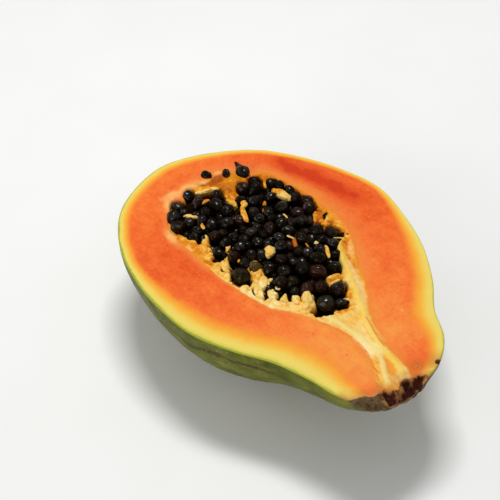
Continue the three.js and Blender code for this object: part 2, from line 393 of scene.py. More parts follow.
# Pits and specks of cork: x, y, radius.
PITS = [
    (79.8, -4.2, 1.5), (81, -6.4, 1.9), (78.2, -9.2, 1.5), (81, -10, 2), (82, -13.2, 1.7),
    (77.9, -18.3, 2.4), (80.4, -18.6, 1.6), (82.2, -16.4, 0.8),
]
SPECKS = [(75.4, -1.1, 0.25), (78.6, 6.6, 1.2)]
# Pale flaps: middle, half length, half width, heading in degrees.
FLAPS = [
    (-60.5, -18.4, 4.6, 1.6, -35), (-63.4, -13, 4.8, 2.4, 82), (-63.4, -5, 4.4, 2.2, 84),
    (-61.6, 1.4, 2.4, 1.1, 80), (-62.7, 10.2, 1.7, 0.9, 70), (-42.5, -29.3, 4.2, 1.7, -10),
    (-32.4, -27.5, 1.9, 0.6, 5), (50.3, 14.6, 0.6, 0.5, 0), (79.6, -1, 1.6, 0.9, -20),
    (11.5, 21.9, 3.6, 1.4, -38),
]
# Torn slits in the tissue.
SLITS = [
    [(2.6, -22.2), (4, -23.4), (5.8, -23.8)], [(-15.2, -24.2), (-14.4, -24.8), (-13.4, -24.9)],
    [(-12, 29.8), (-11.4, 28.4), (-11, 27.2), (-9.8, 26)],
]


def distance_to(line, places):
    return nearest_on(line, places, closed=False)[0]


def flap_share(places):
    """1 in the middle of a pale flap, 0 at its edge, less outside."""
    share = np.full(len(places), -9.0)
    for x, y, half_length, half_width, heading in FLAPS:
        a = np.radians(heading)
        turned = (places - (x, y)) @ np.array([[np.cos(a), -np.sin(a)], [np.sin(a), np.cos(a)]])
        share = np.maximum(share, 1 - np.linalg.norm(turned / (half_length, half_width), axis=1))
    return share


# %% [markdown]
# Three things change slowly over the cut face and are blended from a few numbers: the width of the
# yellow layer round the rim, how red the flesh is, and the tone of the soft tissue, which goes from
# deep wet amber to dry cream.

# %% The yellow layer's width: x, y, width
LAYER_WIDTHS = np.array([
    (-40, -53, 5.7), (0, -57, 12.5), (30, -46, 15), (50, -37, 17), (68, -32, 11), (77, -27, 5),
    (82, -10, 4.5), (79, 7, 6), (72, 16, 9), (60, 23, 12.5), (46, 35, 10.5), (30, 45, 9.5), (10, 53, 6),
    (-10, 57, 3.6), (-45, 46, 3.6), (-66, 30, 4), (-76, 15, 5), (-82, 0, 6.2), (-80, -18, 6.6),
    (-75, -30, 6),
])


def layer_width(where):
    """Width of the yellow layer at places on the rim, given as knot numbers."""
    _, at = nearest_on(rim, LAYER_WIDTHS[:, :2])
    return np.interp(where, at, LAYER_WIDTHS[:, 2], period=len(rim))


# %% Redness of the flesh and tone of the tissue: x, y, reach, number
PLAIN_REDNESS = 0.45
WARM_SPOTS = [
    (-30, -38, 26, 0.42), (0, 42, 34, 0.38), (-50, 34, 26, 0.34), (72, 2, 9, 0.3), (-66, -14, 16, 0.12),
    (55, -18, 20, -0.3), (38, -26, 18, -0.16), (44, 8, 14, -0.12), (60, 8, 10, -0.14), (12, 36, 14, -0.12),
    (6, -36, 15, 0.16), (26, -26, 9, 0.1),
]
TONES = [
    (-53.4, 10.6, 3, 0.36), (-53, 6.5, 3, 0.2), (-46, 5, 3, 0.35), (-42, 2.8, 2, 0.6), (-60, 7, 3, 0.03),
    (-55.4, 1.6, 1.8, 0.45), (-58, -3.4, 1.5, 0.45), (-51, 9.5, 3, 0.16), (-46, -24.5, 2, 0.5),
    (-38, -24.4, 1.6, 0.6), (-33.5, -19.5, 2, 0.62), (-28, -22, 2, 0.65), (-30, -27.2, 3, 0.42),
    (-40, -27.6, 3, 0.4), (-22, -23.5, 2, 0.66), (-20, -28, 2, 0.4), (-48, 24, 5, 0.25), (-40, 30, 5, 0.25),
    (-30, 31, 6, 0.3), (-20, 32, 6, 0.3), (-13, 27, 4, 0.36), (-10, 24, 3, 0.3), (-5, 28, 4, 0.5),
    (3, 28, 4, 0.5), (8, 23, 3, 0.4), (10, 20.5, 2.5, 0.5), (14, 20.4, 3, 0.34), (14, 16, 2, 0.7),
    (19, 17, 2, 0.4), (20, 13, 2, 0.7), (25, 14.8, 2, 0.45), (27, 10, 3, 0.7), (31, 5.5, 2.5, 0.5),
    (35, 2, 3, 0.62), (36, 8, 4, 0.7), (42, 0, 5, 0.68), (40, -6, 4, 0.66), (50, -5, 5, 0.72),
    (57, -6.5, 4, 0.95), (52, -8, 2, 0.9), (66, -9, 4, 0.5), (75, -7, 4, 0.78), (74, -14, 3, 0.55),
    (34, -9, 4, 0.68), (27, -14, 4, 0.74), (20, -16, 4, 0.76), (23, -10, 3, 0.8), (12, -20, 4, 0.9),
    (10, -18, 2, 0.9), (4, -18, 3, 0.85), (2, -23, 3, 0.85), (-3, -16, 3, 0.72), (-8, -26.5, 4, 0.74),
    (-16, -26, 4, 0.62), (-18, -22, 3, 0.7), (-22, -16, 2, 0.5), (-44, -26.5, 3, 0.36), (19, 6, 2.5, 0.6),
]


def redness(places):
    total = np.full(len(places), PLAIN_REDNESS)
    for x, y, size, gain in WARM_SPOTS:
        total += gain * spot(places, x, y, size)
    return total


def tissue_tone(places):
    """A blend of the numbers in TONES, in which the nearest count most."""
    total, weight = np.zeros(len(places)), np.full(len(places), 1e-9)
    for x, y, size, tone in TONES:
        near = spot(places, x, y, size) + 1e-6
        total += tone * near
        weight += near
    return total / weight


# %% [markdown]
# One function measures a place against all of this. The cut face and the lining of the hollow are two
# pieces that meet at the mouth, so both use it, and no seam shows between them.

# %% Measure places
def measure(places):
    """Numbers that finishes and relief need, for each place on the cut face or the lining."""
    rim_distance, rim_where = nearest_on(rim, places)
    soft = by_side(0.7, 2.4, polar(places)[0])
    slit = np.min([distance_to(np.array(line, float), places) for line in SLITS], axis=0)
    found = {
        "rim": rim_distance,
        "green": by_side(1.0, 0.0, polar(places)[0]),
        "layer": rim_distance / layer_width(rim_where),
        "tissue": depth_in(TISSUE, places) / soft,
        "pool": depth_in(POOL, places),
        "slit": slit,
        "island": depth_in(ISLAND, places),
        "cork": depth_in(CORK, places) + 0.8 * lumpy(places, 2.6, 3) + 0.45 * lumpy(places, 1.2, 4),
        "dry": smooth_step(-places[:, 1] + 1.5 * lumpy(places, 3.0, 45), 18, 23),
        "flap": flap_share(places),
        "warm": redness(places),
        "tone": tissue_tone(places),
    }
    for x, y, radius in SPECKS:
        found["cork"] = np.maximum(found["cork"], radius - np.linalg.norm(places - (x, y), axis=1))
    for name, line in LINES.items():
        found[name] = distance_to(line, places)
    return found


# %% [markdown]
# The knife leaves the cut face almost flat. The cords stand a little proud, because they are tougher
# than the flesh, and the red lines are fine grooves. Cork crumbles: its face falls away towards the
# rim, in lumps, and the pits are ragged hollows. All of this is real relief, from a few tenths of a
# millimetre on the flesh to a few millimetres at the scar.

# %% Relief of the cut face
def relief_of(found, places):
    relief = 0.10 * lumpy(places, 9.0, 5) + 0.035 * lumpy(places, 2.2, 6)
    for name, height, width in (
        ("upper", 0.8, 1.5), ("lower", 0.4, 1.2), ("far_hair", -0.2, 0.5), ("near_hair", -0.2, 0.5)):
        relief += height * np.exp(-((found[name] / width) ** 2))
    relief += 0.25 * np.clip(found["flap"], 0, 0.5)
    return relief + 0.12 * lumpy(places / (6.0, 1.0), 1.0, 7) * smooth_step(found["tissue"], -1, 2)


places = points[:, :2].copy()
angle, out = polar(places)
down = CUT_Z - points[:, 2]
on_cut = np.isin(part, ["cut", "lip", "rim"])
found = measure(places)
cork = found["cork"]
points[on_cut, 2] += relief_of(found, places)[on_cut]

# %% Cork and pits
CRUMBLE, CRUMBLE_TO = 0.5, 14  # fall for each mm into the cork; it ends this far down the back
PIT_SHARE = 0.95  # how deep a pit is for its radius
fallen = CRUMBLE * np.clip(cork, 0, 9) * np.clip(1 - down / CRUMBLE_TO, 0, 1) ** 2
points[:, 2] -= fallen
crumbs = 0.45 * lumpy(points, 2.4, 8) + 0.25 * lumpy(points, 1.0, 9)
points[on_cut, 2] += (crumbs * smooth_step(cork, 0, 1.5))[on_cut]
pit = np.full(len(points), -9.0)
for x, y, radius in PITS:
    off = np.linalg.norm(places - (x, y), axis=1) * (1 + 0.4 * lumpy(places, 1.8, 10))
    pit = np.maximum(pit, radius - off)
    bowl = np.sqrt(np.clip(radius**2 - off**2, 0, None))
    points[on_cut, 2] -= (PIT_SHARE * bowl)[on_cut]
print("lowest part of the cut face", (points[part == "cut", 2].min() - CUT_Z).round(2), "mm")

# %% [markdown]
# The skin is smooth, but not as smooth as the formula. Wide shallow waves move it by a few tenths of
# a millimetre along its own normals, and the scar at the stem end is lumpy. The normals come from a
# mesh, so one is made for them first and its points are moved afterwards.

# %% Make the mesh
def put_in_scene(name, data):
    """A new object that shows a mesh, a light or a camera."""
    thing = bpy.data.objects.new(name, data)
    bpy.context.scene.collection.objects.link(thing)
    return thing


def new_mesh(name, places, faces):
    mesh = bpy.data.meshes.new(name)
    mesh.from_pydata(np.asarray(places).tolist(), [], faces)
    mesh.update()
    return mesh


def make_piece(name, places_mm, faces, finishes):
    """A piece of the object from points in millimetres, with a finish for each of its slots."""
    mesh = new_mesh(name, np.asarray(places_mm) * MM, faces)
    for finish in finishes:
        mesh.materials.append(finish)
    mesh.polygons.foreach_set("use_smooth", np.ones(len(mesh.polygons), bool))
    return put_in_scene(name, mesh)


def closed_faces(count, around):
    """Quads between neighbouring rings and a fan of triangles at each end, all facing out."""
    i = np.arange(around)
    after = (i + 1) % around
    start = 1 + around * np.arange(count - 1)[:, None]
    quads = np.stack([start + i, start + around + i, start + around + after, start + after], 2)
    end = 1 + around * (count - 1)
    fans = [[0, 1 + a, 1 + b] for a, b in zip(i, after)]
    fans += [[end + around, end + b, end + a] for a, b in zip(i, after)]
    return quads.reshape(-1, 4).tolist() + fans


def normals_of(places_mm, faces):
    """Outward normals at the points of a mesh."""
    mesh = new_mesh("normals", places_mm, faces)
    normals = np.empty(len(places_mm) * 3, np.float32)
    mesh.vertices.foreach_get("normal", normals)
    bpy.data.meshes.remove(mesh)
    return normals.reshape(-1, 3)


flesh_faces = closed_faces(len(rings), AROUND)
normals = normals_of(points, flesh_faces)
print(f"{(normals[part == 'back'][:, 2] < 0).mean():.0%} of the back's normals point down")

# %% Waves in the skin
SCAR_MIDDLE, SCAR_REACH = np.array([81.0, -13.0, CUT_Z - 9]), 17
on_back = part == "back"
swell = smooth_step(down, 0.5, 6) * smooth_step(points[:, 2], 0, 4)
waves = 0.40 * lumpy(points, 17.0, 11) + 0.14 * lumpy(points, 5.5, 12)
scar = SCAR_REACH - np.linalg.norm((points - SCAR_MIDDLE) * (1, 1, 1.2), axis=1)
scar += 3 * lumpy(places, 2.6, 3)
knobs = -0.9 * np.abs(lumpy(points, 4.5, 13)) + 0.35 * lumpy(points, 1.8, 14)
moved = waves * swell + knobs * smooth_step(scar, 0, 7) * smooth_step(down, 0.2, 2)
points[on_back] -= (moved[:, None] * normals)[on_back]
points[:, 2] = np.maximum(points[:, 2], 0)

# %% [markdown]
# What the finishes need to know goes onto the mesh as named numbers, one for each point: how far it
# is from the rim, the mouth, the cords, the bruise and the scar. A finish reads them as attributes
# and turns them into colour, so the yellow layer stays at the rim wherever the rim goes.

# %% Numbers for the finishes
def mouth_at(angle):
    """Reach of the ragged mouth in each direction."""
    return np.interp(angle, angles, mouth_reach, period=2 * np.pi)


found["lip"] = out - mouth_at(angle)
found["cork"] = np.where(on_back, np.maximum(cork - 0.3 * down, scar * 0.6), cork)
found["pit"] = np.where(on_cut, pit, -9)
found["down"] = down
found["worn"] = smooth_step(places[:, 0], -18, 4) * (1 - smooth_step(places[:, 0], 30, 50))
found["worn"] = 0.25 + 0.75 * found["worn"] * smooth_step(-places[:, 1], 0, 10)
found["sunk"] = np.zeros(len(points))
found["crease"] = np.zeros(len(points))


def inform(piece, numbers):
    """Writes named numbers onto the points of a piece."""
    for name, values in numbers.items():
        layer = piece.data.attributes.new(name, "FLOAT", "POINT")
        layer.data.foreach_set("value", np.asarray(values, np.float32))
    print(piece.name, "knows", ", ".join(numbers))


# %% [markdown]
# ## Finishes as formulas
#
# A finish is a tree of nodes. Written node by node it is long and hard to read, so a small class
# wraps an output socket and lets plain arithmetic add the Math nodes: `1 - mask * 0.5` is two nodes.
# Colours and vectors can't go through Math nodes, which would turn them grey, so they have helpers.

# %% Colours
def paint(code):
    """A colour as it looks, such as #F0BE50, in the linear numbers that shaders use."""
    seen = np.array([int(code[i : i + 2], 16) / 255 for i in (1, 3, 5)])
    linear = np.where(seen <= 0.04045, seen / 12.92, ((seen + 0.055) / 1.055) ** 2.4)
    return (*linear.tolist(), 1.0)


# %% A wire that can be calculated with
class Wire:
    """An output socket of a finish. Arithmetic with it adds Math nodes."""

    def __init__(self, tree, socket=None):
        self.tree = tree
        self.socket = socket

    def add(self, kind, settings=None, inputs=None, out=0):
        """Adds a node. Its settings come first, then its sockets get wires, numbers or colours."""
        node = self.tree.nodes.new("ShaderNode" + kind)
        for name, value in (settings or {}).items():
            if name == "stops":
                self.place_stops(node.color_ramp, value)
            else:
                setattr(node, name, value)
        for name, value in (inputs or {}).items():
            if isinstance(value, Wire):
                self.tree.links.new(value.socket, node.inputs[name])
            else:
                node.inputs[name].default_value = paint(value) if isinstance(value, str) else value
        return Wire(self.tree, node.outputs[out])

    @staticmethod
    def place_stops(colour_ramp, stops):
        while len(colour_ramp.elements) < len(stops):
            colour_ramp.elements.new(0.5)
        for element, (position, code) in zip(colour_ramp.elements, stops):
            element.position = position
            element.color = paint(code)

    def math(self, operation, *values):
        return self.add("Math", {"operation": operation}, dict(enumerate(values)))

    def __add__(self, other):
        return self.math("ADD", self, other)

    def __radd__(self, other):
        return self.math("ADD", other, self)

    def __sub__(self, other):
        return self.math("SUBTRACT", self, other)

    def __rsub__(self, other):
        return self.math("SUBTRACT", other, self)

    def __mul__(self, other):
        return self.math("MULTIPLY", self, other)

    def __rmul__(self, other):
        return self.math("MULTIPLY", other, self)


# %% Helpers for shares and colours
def step(value, low, high):
    """0 below low, 1 above high, smooth between; the other way round if low is above high."""
    settings = {"interpolation_type": "SMOOTHSTEP"}
    return value.add("MapRange", settings, {0: value, 1: low, 2: high})


def mix(share, first, second):
    """A colour between two, by a share from 0 to 1."""
    return share.add("Mix", {"data_type": "RGBA"}, {0: share, 6: first, 7: second}, out=2)


def layers(body, *coats):
    """Lays colours over one another, each with its share from 0 to 1, as a painter lays coats."""
    for share, colour in coats:
        body = mix(share, body, colour)
    return body


def ramp(value, *stops):
    """Colours along a value from 0 to 1."""
    return value.add("ValToRGB", {"stops": stops}, {0: value})


# %% Helpers for patterns
def sway(value, *clouds):
    """A value moved up and down by noises about 0.5, each followed by its weight."""
    for cloud, weight in zip(clouds[::2], clouds[1::2]):
        value = value + (cloud - 0.5) * weight
    return value


def scaled(at, size, stretch):
    """Places counted in lumps of that size; a stretch below 1 makes them longer that way."""
    scale = tuple(s / size for s in stretch)
    return at.add("VectorMath", {"operation": "MULTIPLY"}, {0: at, 1: scale})


def noise(at, size, detail=2.0, rough=0.5, stretch=(1, 1, 1)):
    """Cloudy noise about 0.5, with lumps of that size in millimetres."""
    inputs = {"Vector": scaled(at, size, stretch), "Scale": 1.0, "Detail": detail, "Roughness": rough}
    return at.add("TexNoise", None, inputs)


def cells(at, size, stretch=(1, 1, 1)):
    """Distance to the nearest of many scattered points, about one for each size in millimetres."""
    return at.add("TexVoronoi", None, {"Vector": scaled(at, size, stretch), "Scale": 1.0})


def known(at, name):
    """A number that is written on the mesh."""
    return at.add("Attribute", {"attribute_name": name}, out=2)


def bump(height, depth):
    """Fine relief: the height, from 0 to 1, is worth that depth in millimetres."""
    return height.add("Bump", None, {"Height": height, "Distance": depth * MM, "Strength": 1.0})


def mix_normals(share, first, second):
    """A direction between two bumps."""
    return share.add("Mix", {"data_type": "VECTOR"}, {0: share, 4: first, 5: second}, out=1)


# %% Start and end of a finish
def new_finish(name):
    """An empty material, and the wire that all of its nodes start from: places in millimetres."""
    material = bpy.data.materials.new(name)
    material.use_nodes = True
    material.node_tree.nodes.clear()
    place = Wire(material.node_tree).add("TexCoord", out="Object")
    return material, place.add("VectorMath", {"operation": "SCALE"}, {0: place, "Scale": 1 / MM})


def surface(at, **sockets):
    """Ends a finish: the sockets of the Principled shader by name, with spaces as underscores."""
    inputs = {name.replace("_", " "): value for name, value in sockets.items()}
    shader = at.add("BsdfPrincipled", None, inputs)
    end = at.tree.nodes.new("ShaderNodeOutputMaterial")
    at.tree.links.new(shader.socket, end.inputs["Surface"])


# %% [markdown]
# ## Cut flesh
#
# Ripe flesh is wet and a little see-through, so light enters it and comes out nearby: some
# subsurface scattering, and a soft shine. Its colour is built up in layers, as a painter would work:
# the blotchy flesh, the bruise, the yellow layer under the skin, the soft tissue with its cords and
# red lines, the thin green line of the skin, painted shade where the tissue lies deep, and last the
# cork of the scar, whose pits are painted dark as shade.

# %% Flesh colours
def flesh_colour(at):
    blotch = noise(at, 6.5, 3.0, 0.55)
    fleck = noise(at, 1.5, 2.0, 0.6)
    streak = noise(at, 1.1, 2.0, 0.6, stretch=(0.35, 1, 1))
    warm = sway(known(at, "warm"), blotch, 0.8, fleck, 0.55, streak, 0.3)
    body = ramp(
        warm, (0.0, "#F3983E"), (0.25, "#F38839"), (0.5, "#F1752D"),
        (0.75, "#EB6423"), (1.0, "#DF5213"))
    pale_fleck = step(cells(at, 2.6), 0.22, 0.06) * step(blotch, 0.5, 0.62) * 0.4
    dash = step(cells(at, 2.0, (1, 0.45, 1)), 0.2, 0.06) * step(fleck, 0.48, 0.6) * 0.55
    return layers(body, (pale_fleck, "#F8A850"), (dash, "#C04012")), blotch, fleck, streak


# %% Bruise, and the yellow layer under the skin
def with_bruise(at, body, blotch, fleck):
    off = sway(known(at, "bruise"), blotch, 10, fleck, 5)
    return layers(body, (step(off, 7.5, 3.0) * 0.6, "#D84610"), (step(off, 4.0, 1.0) * 0.8, "#C83006"))


def with_yellow_layer(at, body, blotch, fleck):
    layer = sway(known(at, "layer"), blotch, 0.16, fleck, 0.06)
    layer = layer + (1 - known(at, "green")) * 0.16
    yellow = ramp(
        layer, (0.0, "#CCC040"), (0.1, "#DCCA52"), (0.2, "#E6D266"), (0.34, "#ECCC5C"), (0.47, "#EFBC48"),
        (0.6, "#F2A834"), (0.75, "#F2962E"), (0.95, "#F0842A"))
    return mix(step(layer, 1.1, 0.66), body, yellow)


# %% Soft tissue
def tissue_colour(at, blotch):
    """Deep wet amber at tone 0, golden in the middle, dry cream at 1."""
    fibres = noise(at, 0.9, 3.0, 0.62, stretch=(0.2, 1, 1))
    clump = noise(at, 1.9, 3.0, 0.6)
    crease = known(at, "crease")
    by_pool = step(known(at, "pool"), -7.0, -2.5)
    uneven = sway(0.0, fibres, 0.6, clump, 0.25 + by_pool * 0.75, blotch, 0.5)
    still = known(at, "tone")
    # painted shade: the tone is lowered in the creases between the lobes
    tone = still + uneven * (0.4 + step(still, 0.05, 0.5) * 0.6) - crease * 0.3
    colour = ramp(
        tone, (0.0, "#984000"), (0.2, "#CA7200"), (0.4, "#E69416"), (0.58, "#EFB64C"), (0.76, "#F3CB74"),
        (1.0, "#FAE4A6"))
    lemon = noise(at, 1.3, 2.0, 0.6)
    colour = layers(
        colour, (step(lemon, 0.5, 0.66) * step(tone, 0.4, 0.65) * by_pool * 0.6, "#E2C654"),
        (step(lemon * 0.5 + fibres * 0.5, 0.42, 0.34) * by_pool * 0.5, "#B4661C"),
        # painted shade: dark brown laid into the deepest creases
        (step(sway(crease, clump, 0.6), 0.55, 1.1) * 0.5, "#8E5010"))
    return colour, fibres, clump


def with_tissue(at, body, blotch, fleck):
    colour, fibres, clump = tissue_colour(at, blotch)
    depth = sway(known(at, "tissue"), clump, 1.4, fleck, 0.7)
    glow = step(depth, -5.5, 0.0) * step(known(at, "tone"), 0.68, 0.4)
    flap = sway(known(at, "flap"), clump, 1.6, blotch, 1.2)
    body = layers(
        body, (glow * step(known(at, "bruise"), 2.0, 8.0) * 0.4, "#F09C50"),
        (step(depth, -2.8, 0.2) * 0.6, "#E88C26"), (step(depth, -0.5, 0.6), colour),
        (step(flap, -0.7, 0.8) * (0.5 + fleck * 0.6), "#F6BA6C"))
    return body, fibres, clump


# %% Cords, red lines and the orange island
def with_cords(at, body, fibres, fleck):
    island = sway(known(at, "island"), fleck, 1.6, fibres, 1.4)
    body = mix(step(island, -0.6, 0.8) * 0.85, body, "#EC9424")
    for name, width, strength, colour in (
        ("upper", 2.2, 0.85, "#F0CA58"), ("ridge", 1.3, 0.7, "#F6C88C"), ("lower", 1.6, 0.8, "#ECD888"),
        ("pale_hair", 0.7, 0.5, "#F4B464"), ("far_hair", 0.6, 0.7, "#E2702E"),
        ("near_hair", 0.75, 0.55, "#E46C2C"), ("mid_hair", 0.4, 0.5, "#E09A40"),
    ):
        off = sway(known(at, name), fibres, 0.7 * width, fleck, 0.5 * width)
        body = mix(step(off, width, width * 0.25) * strength, body, colour)
    return body


# %% Cork at the stem end
def cork_colour(at):
    lumps = noise(at, 3.4, 4.0, 0.62)
    grit = noise(at, 0.7, 3.0, 0.7)
    wet = ramp(
        sway(lumps, grit, 0.35), (0.3, "#200A04"), (0.42, "#481A08"), (0.5, "#64360C"),
        (0.57, "#86541C"), (0.66, "#AC7838"), (0.8, "#CC9C68"))
    dry = ramp(sway(lumps, grit, 0.5), (0.3, "#34260F"), (0.5, "#5E4A2E"), (0.75, "#82694A"))
    brown = mix(known(at, "dry"), wet, dry)
    pit = sway(known(at, "pit"), grit, 0.9, lumps, 1.2)
    rim_of_pit = step(sway(pit, lumps, 3), -1.6, -0.5) * 0.35
    # painted shade: inside a pit the colour goes to near black
    dark = ramp(sway(grit, lumps, 0.6), (0.3, "#100502"), (0.52, "#341106"), (0.7, "#5E1D0A"))
    return mix(step(pit, -0.5, 0.5), mix(rim_of_pit, brown, "#C08C50"), dark), lumps, grit


def with_cork(at, body):
    brown, lumps, grit = cork_colour(at)
    depth = known(at, "cork")
    ragged = sway(depth, lumps, 3, grit, 1)
    share = step(sway(depth, grit, 1.2), -0.4, 0.3)
    body = layers(
        body, (step(sway(depth, lumps, 4), -6.0, 0.5) * 0.6, "#B8641F"),
        (step(ragged, -1.4, -0.2) * 0.5, "#C8904E"), (share, brown))
    return body, share, lumps, grit


# %% Shade of the pool
def with_depth(at, body, clump):
    """Painted shade: tissue that lies deeper is painted brown, then near black, and torn slits are painted
    dark.
    """
    slit = step(sway(known(at, "slit"), clump, 0.5), 0.55, 0.2)
    sunk = sway(known(at, "sunk"), clump, 1.2)
    # painted shade: near black in the torn slits, brown where the tissue lies deeper, near black deepest
    return layers(
        body, (slit, "#3A1206"), (step(sunk, 0.3, 2.0) * 0.8, "#965010"), (step(sunk, 1.4, 3.6), "#1A0C06"))


# %% The finish of the cut face
def cut_flesh_finish():
    material, at = new_finish("cut_flesh")
    body, blotch, fleck, streak = flesh_colour(at)
    body = with_bruise(at, body, blotch, fleck)
    body = with_yellow_layer(at, body, blotch, fleck)
    body, fibres, clump = with_tissue(at, body, blotch, fleck)
    body = with_cords(at, body, fibres, fleck)
    green = known(at, "green")
    rim_line = sway(known(at, "rim"), fleck, 0.6, blotch, 1.2) - green * 0.45
    body = mix(step(rim_line, 0.7, 0.0) * (0.25 + green * 0.75), body, "#9CA632")
    body = with_depth(at, body, clump)
    body, corky, lumps, grit = with_cork(at, body)
    wet = noise(at, 0.9, 2.0, 0.6)
    amber = step(known(at, "tone"), 0.4, 0.2) * step(known(at, "tissue"), 0.0, 1.0)
    shine = 0.36 + wet * 0.24 + corky * 0.2 - amber * 0.06
    soft = step(known(at, "tissue"), -0.5, 1.0)
    fine = bump(fleck * 0.4 + streak * 0.3 + cells(at, 0.55) * 0.2, 0.12)
    torn = bump(fibres * 0.4 + clump * 0.6, 0.35)
    rough = bump(lumps * 0.6 + grit * 0.4, 0.9)
    normal = mix_normals(corky, mix_normals(soft - amber * 0.7, fine, torn), rough)
    surface(
        at, Base_Color=body, Roughness=shine, Normal=normal, IOR=1.38, Specular_IOR_Level=0.2,
        Subsurface_Weight=0.15, Subsurface_Radius=(1.0, 0.35, 0.12), Subsurface_Scale=0.002)
    return material


# %% [markdown]
# ## Skin
#
# A papaya's skin turns from green to yellow in patches as it ripens, with darker smears, pale scuffs
# and a few corky dots. Towards the stem it is brown and scabby. Skin is waxy, so it has a dull shine.

# %% The finish of the skin
def skin_finish():
    material, at = new_finish("skin")
    cloud = noise(at, 19.0, 3.0, 0.55)
    patch = noise(at, 7.0, 4.0, 0.6)
    smear = noise(at, 5.0, 3.0, 0.6, stretch=(0.4, 1, 1))
    fine = noise(at, 0.8, 3.0, 0.65)
    green = ramp(
        sway(cloud, fine, 0.3, patch, 0.3), (0.3, "#4A5014"), (0.45, "#5C621A"),
        (0.58, "#6E7028"), (0.75, "#8A8836"))
    below = known(at, "down")
    under_rim = sway(below, fine, 1.4)
    band = sway(below, cloud, 22, smear, 4) - 7.5
    worn = step(band * band, 3.6, 0.2) * step(fine, 0.3, 0.5) * known(at, "worn")
    brown, lumps, grit = cork_colour(at)
    scabby = mix(step(lumps, 0.35, 0.65) * 0.5, brown, "#7E7156")
    share = step(sway(known(at, "cork"), patch, 6), -1.0, 2.5)
    colour = layers(
        green, (step(smear, 0.54, 0.66) * 0.5, "#443A18"), (worn * 0.8, "#40301A"),
        (step(patch, 0.6, 0.72) * 0.45, "#7E7850"), (step(under_rim, 0.75, -0.1) * 0.75, "#96A424"),
        (step(cells(at, 3.4), 0.15, 0.06) * 0.6, "#A8A06A"), (share, scabby))
    shine = 0.42 + fine * 0.16 + share * 0.25
    relief = bump(fine * 0.5 + patch * 0.5, 0.25)
    rough = bump(lumps * 0.6 + grit * 0.4, 0.9)
    surface(
        at, Base_Color=colour, Roughness=shine, Normal=mix_normals(share, relief, rough), IOR=1.4,
        Specular_IOR_Level=0.14,
        Subsurface_Weight=0.05, Subsurface_Radius=(1.0, 0.8, 0.2), Subsurface_Scale=0.0015)
    return material


# %% [markdown]
# ## Wall of the hollow
#
# Below the lip the wall is amber and wetter than the cut face, because no knife has touched it. It
# carries fine ridges that run down into the hollow. Deeper down it is painted brown and near black:
# painted shade at the bottom of the hollow.

# %% The finish of the wall
def wall_finish():
    material, at = new_finish("hollow_wall")
    patch = noise(at, 3.0, 3.0, 0.6)
    fine = noise(at, 0.7, 3.0, 0.6)
    inward = sway(0 - known(at, "lip"), patch, 5.0, fine, 1.5)
    # painted shade: further in, the colour goes from amber to brown and near black
    colour = ramp(
        inward * 0.07, (0.0, "#EFBE5E"), (0.16, "#E9AC48"), (0.32, "#DE9630"), (0.46, "#C27A1E"),
        (0.62, "#7A3E10"), (0.8, "#241008"))
    surface(
        at, Base_Color=colour, Roughness=0.28 + fine * 0.2, Normal=bump(fine * 0.6 + patch * 0.4, 0.3),
        IOR=1.38, Specular_IOR_Level=0.3, Subsurface_Weight=0.15, Subsurface_Radius=(1.0, 0.4, 0.12),
        Subsurface_Scale=0.002)
    return material


# %% Finish the flesh
cut_flesh = cut_flesh_finish()
papaya_half = make_piece("papaya_half", points, flesh_faces, [cut_flesh, skin_finish(), wall_finish()])
inform(papaya_half, found)
FINISH_OF = {"cut": 0, "lip": 0, "rim": 0, "back": 1, "wall": 2}
finish_of_face = np.repeat([FINISH_OF[name] for name in [*part_of[1:], "wall", "back"]], AROUND)
papaya_half.data.polygons.foreach_set("material_index", finish_of_face.astype(np.int32))
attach(papaya_half, "root")
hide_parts(FLESH)

# %% [markdown]
# ## Where the camera stands
#
# The camera itself is made at the end, but its place is settled here, because the seeds on top of the
# heap are easiest to place in its picture. A line of sight runs from the camera through each point of
# the picture, and what shows at that point lies somewhere on the line.

# %% The camera's place, in degrees and in millimetres from the middle of the part at the cut face
AIM = np.array([-15.5117, -9.1344, 0.0])
AZIMUTH, ELEVATION, ROLL = 53.32305, 44.0, -3.0
DISTANCE = 576.478
SENSOR, LENS = 36.0, 100.8
PICTURE = 500  # points across and down the picture
PICTURE_FAR = PICTURE * LENS / SENSOR  # how many such points the picture is away from the camera


def direction(azimuth, elevation):
    """Away from the fruit, from angles in degrees: azimuth 0 is in front, at -Y, and 90 at +X."""
    a, e = np.radians([azimuth, elevation])
    return np.array([np.sin(a) * np.cos(e), -np.cos(a) * np.cos(e), np.sin(e)])


towards_camera = direction(AZIMUTH, ELEVATION)
eye = AIM + DISTANCE * towards_camera


def sight_lines(seen):
    """Lines of sight through places in the picture, which count across and down from its corner."""
    roll = np.radians(ROLL)
    level = direction(AZIMUTH + 90, 0)
    down = np.cross(level, towards_camera)
    axes = [
        np.cos(roll) * level - np.sin(roll) * down, np.cos(roll) * down + np.sin(roll) * level,
        -towards_camera,
    ]
    return np.column_stack([(seen[:, :2] - PICTURE / 2) / PICTURE_FAR, np.ones(len(seen))]) @ axes


# %% [markdown]
# ## Seeds
#
# Each seed is a round body of about 6 mm in a clear jelly. Most are near black, a few are brown or
# olive where the jelly is thick. Those on top of the heap have places of their own in the picture,
# and settle on the heap along their lines of sight. More of them lie below and between, found by
# throwing darts: a place is kept if no seed is near it.
#
# One egg-shaped ball is bent into all of them by size, turn, lumps and ridges. They are joined into
# one piece, and each carries its own colour number.

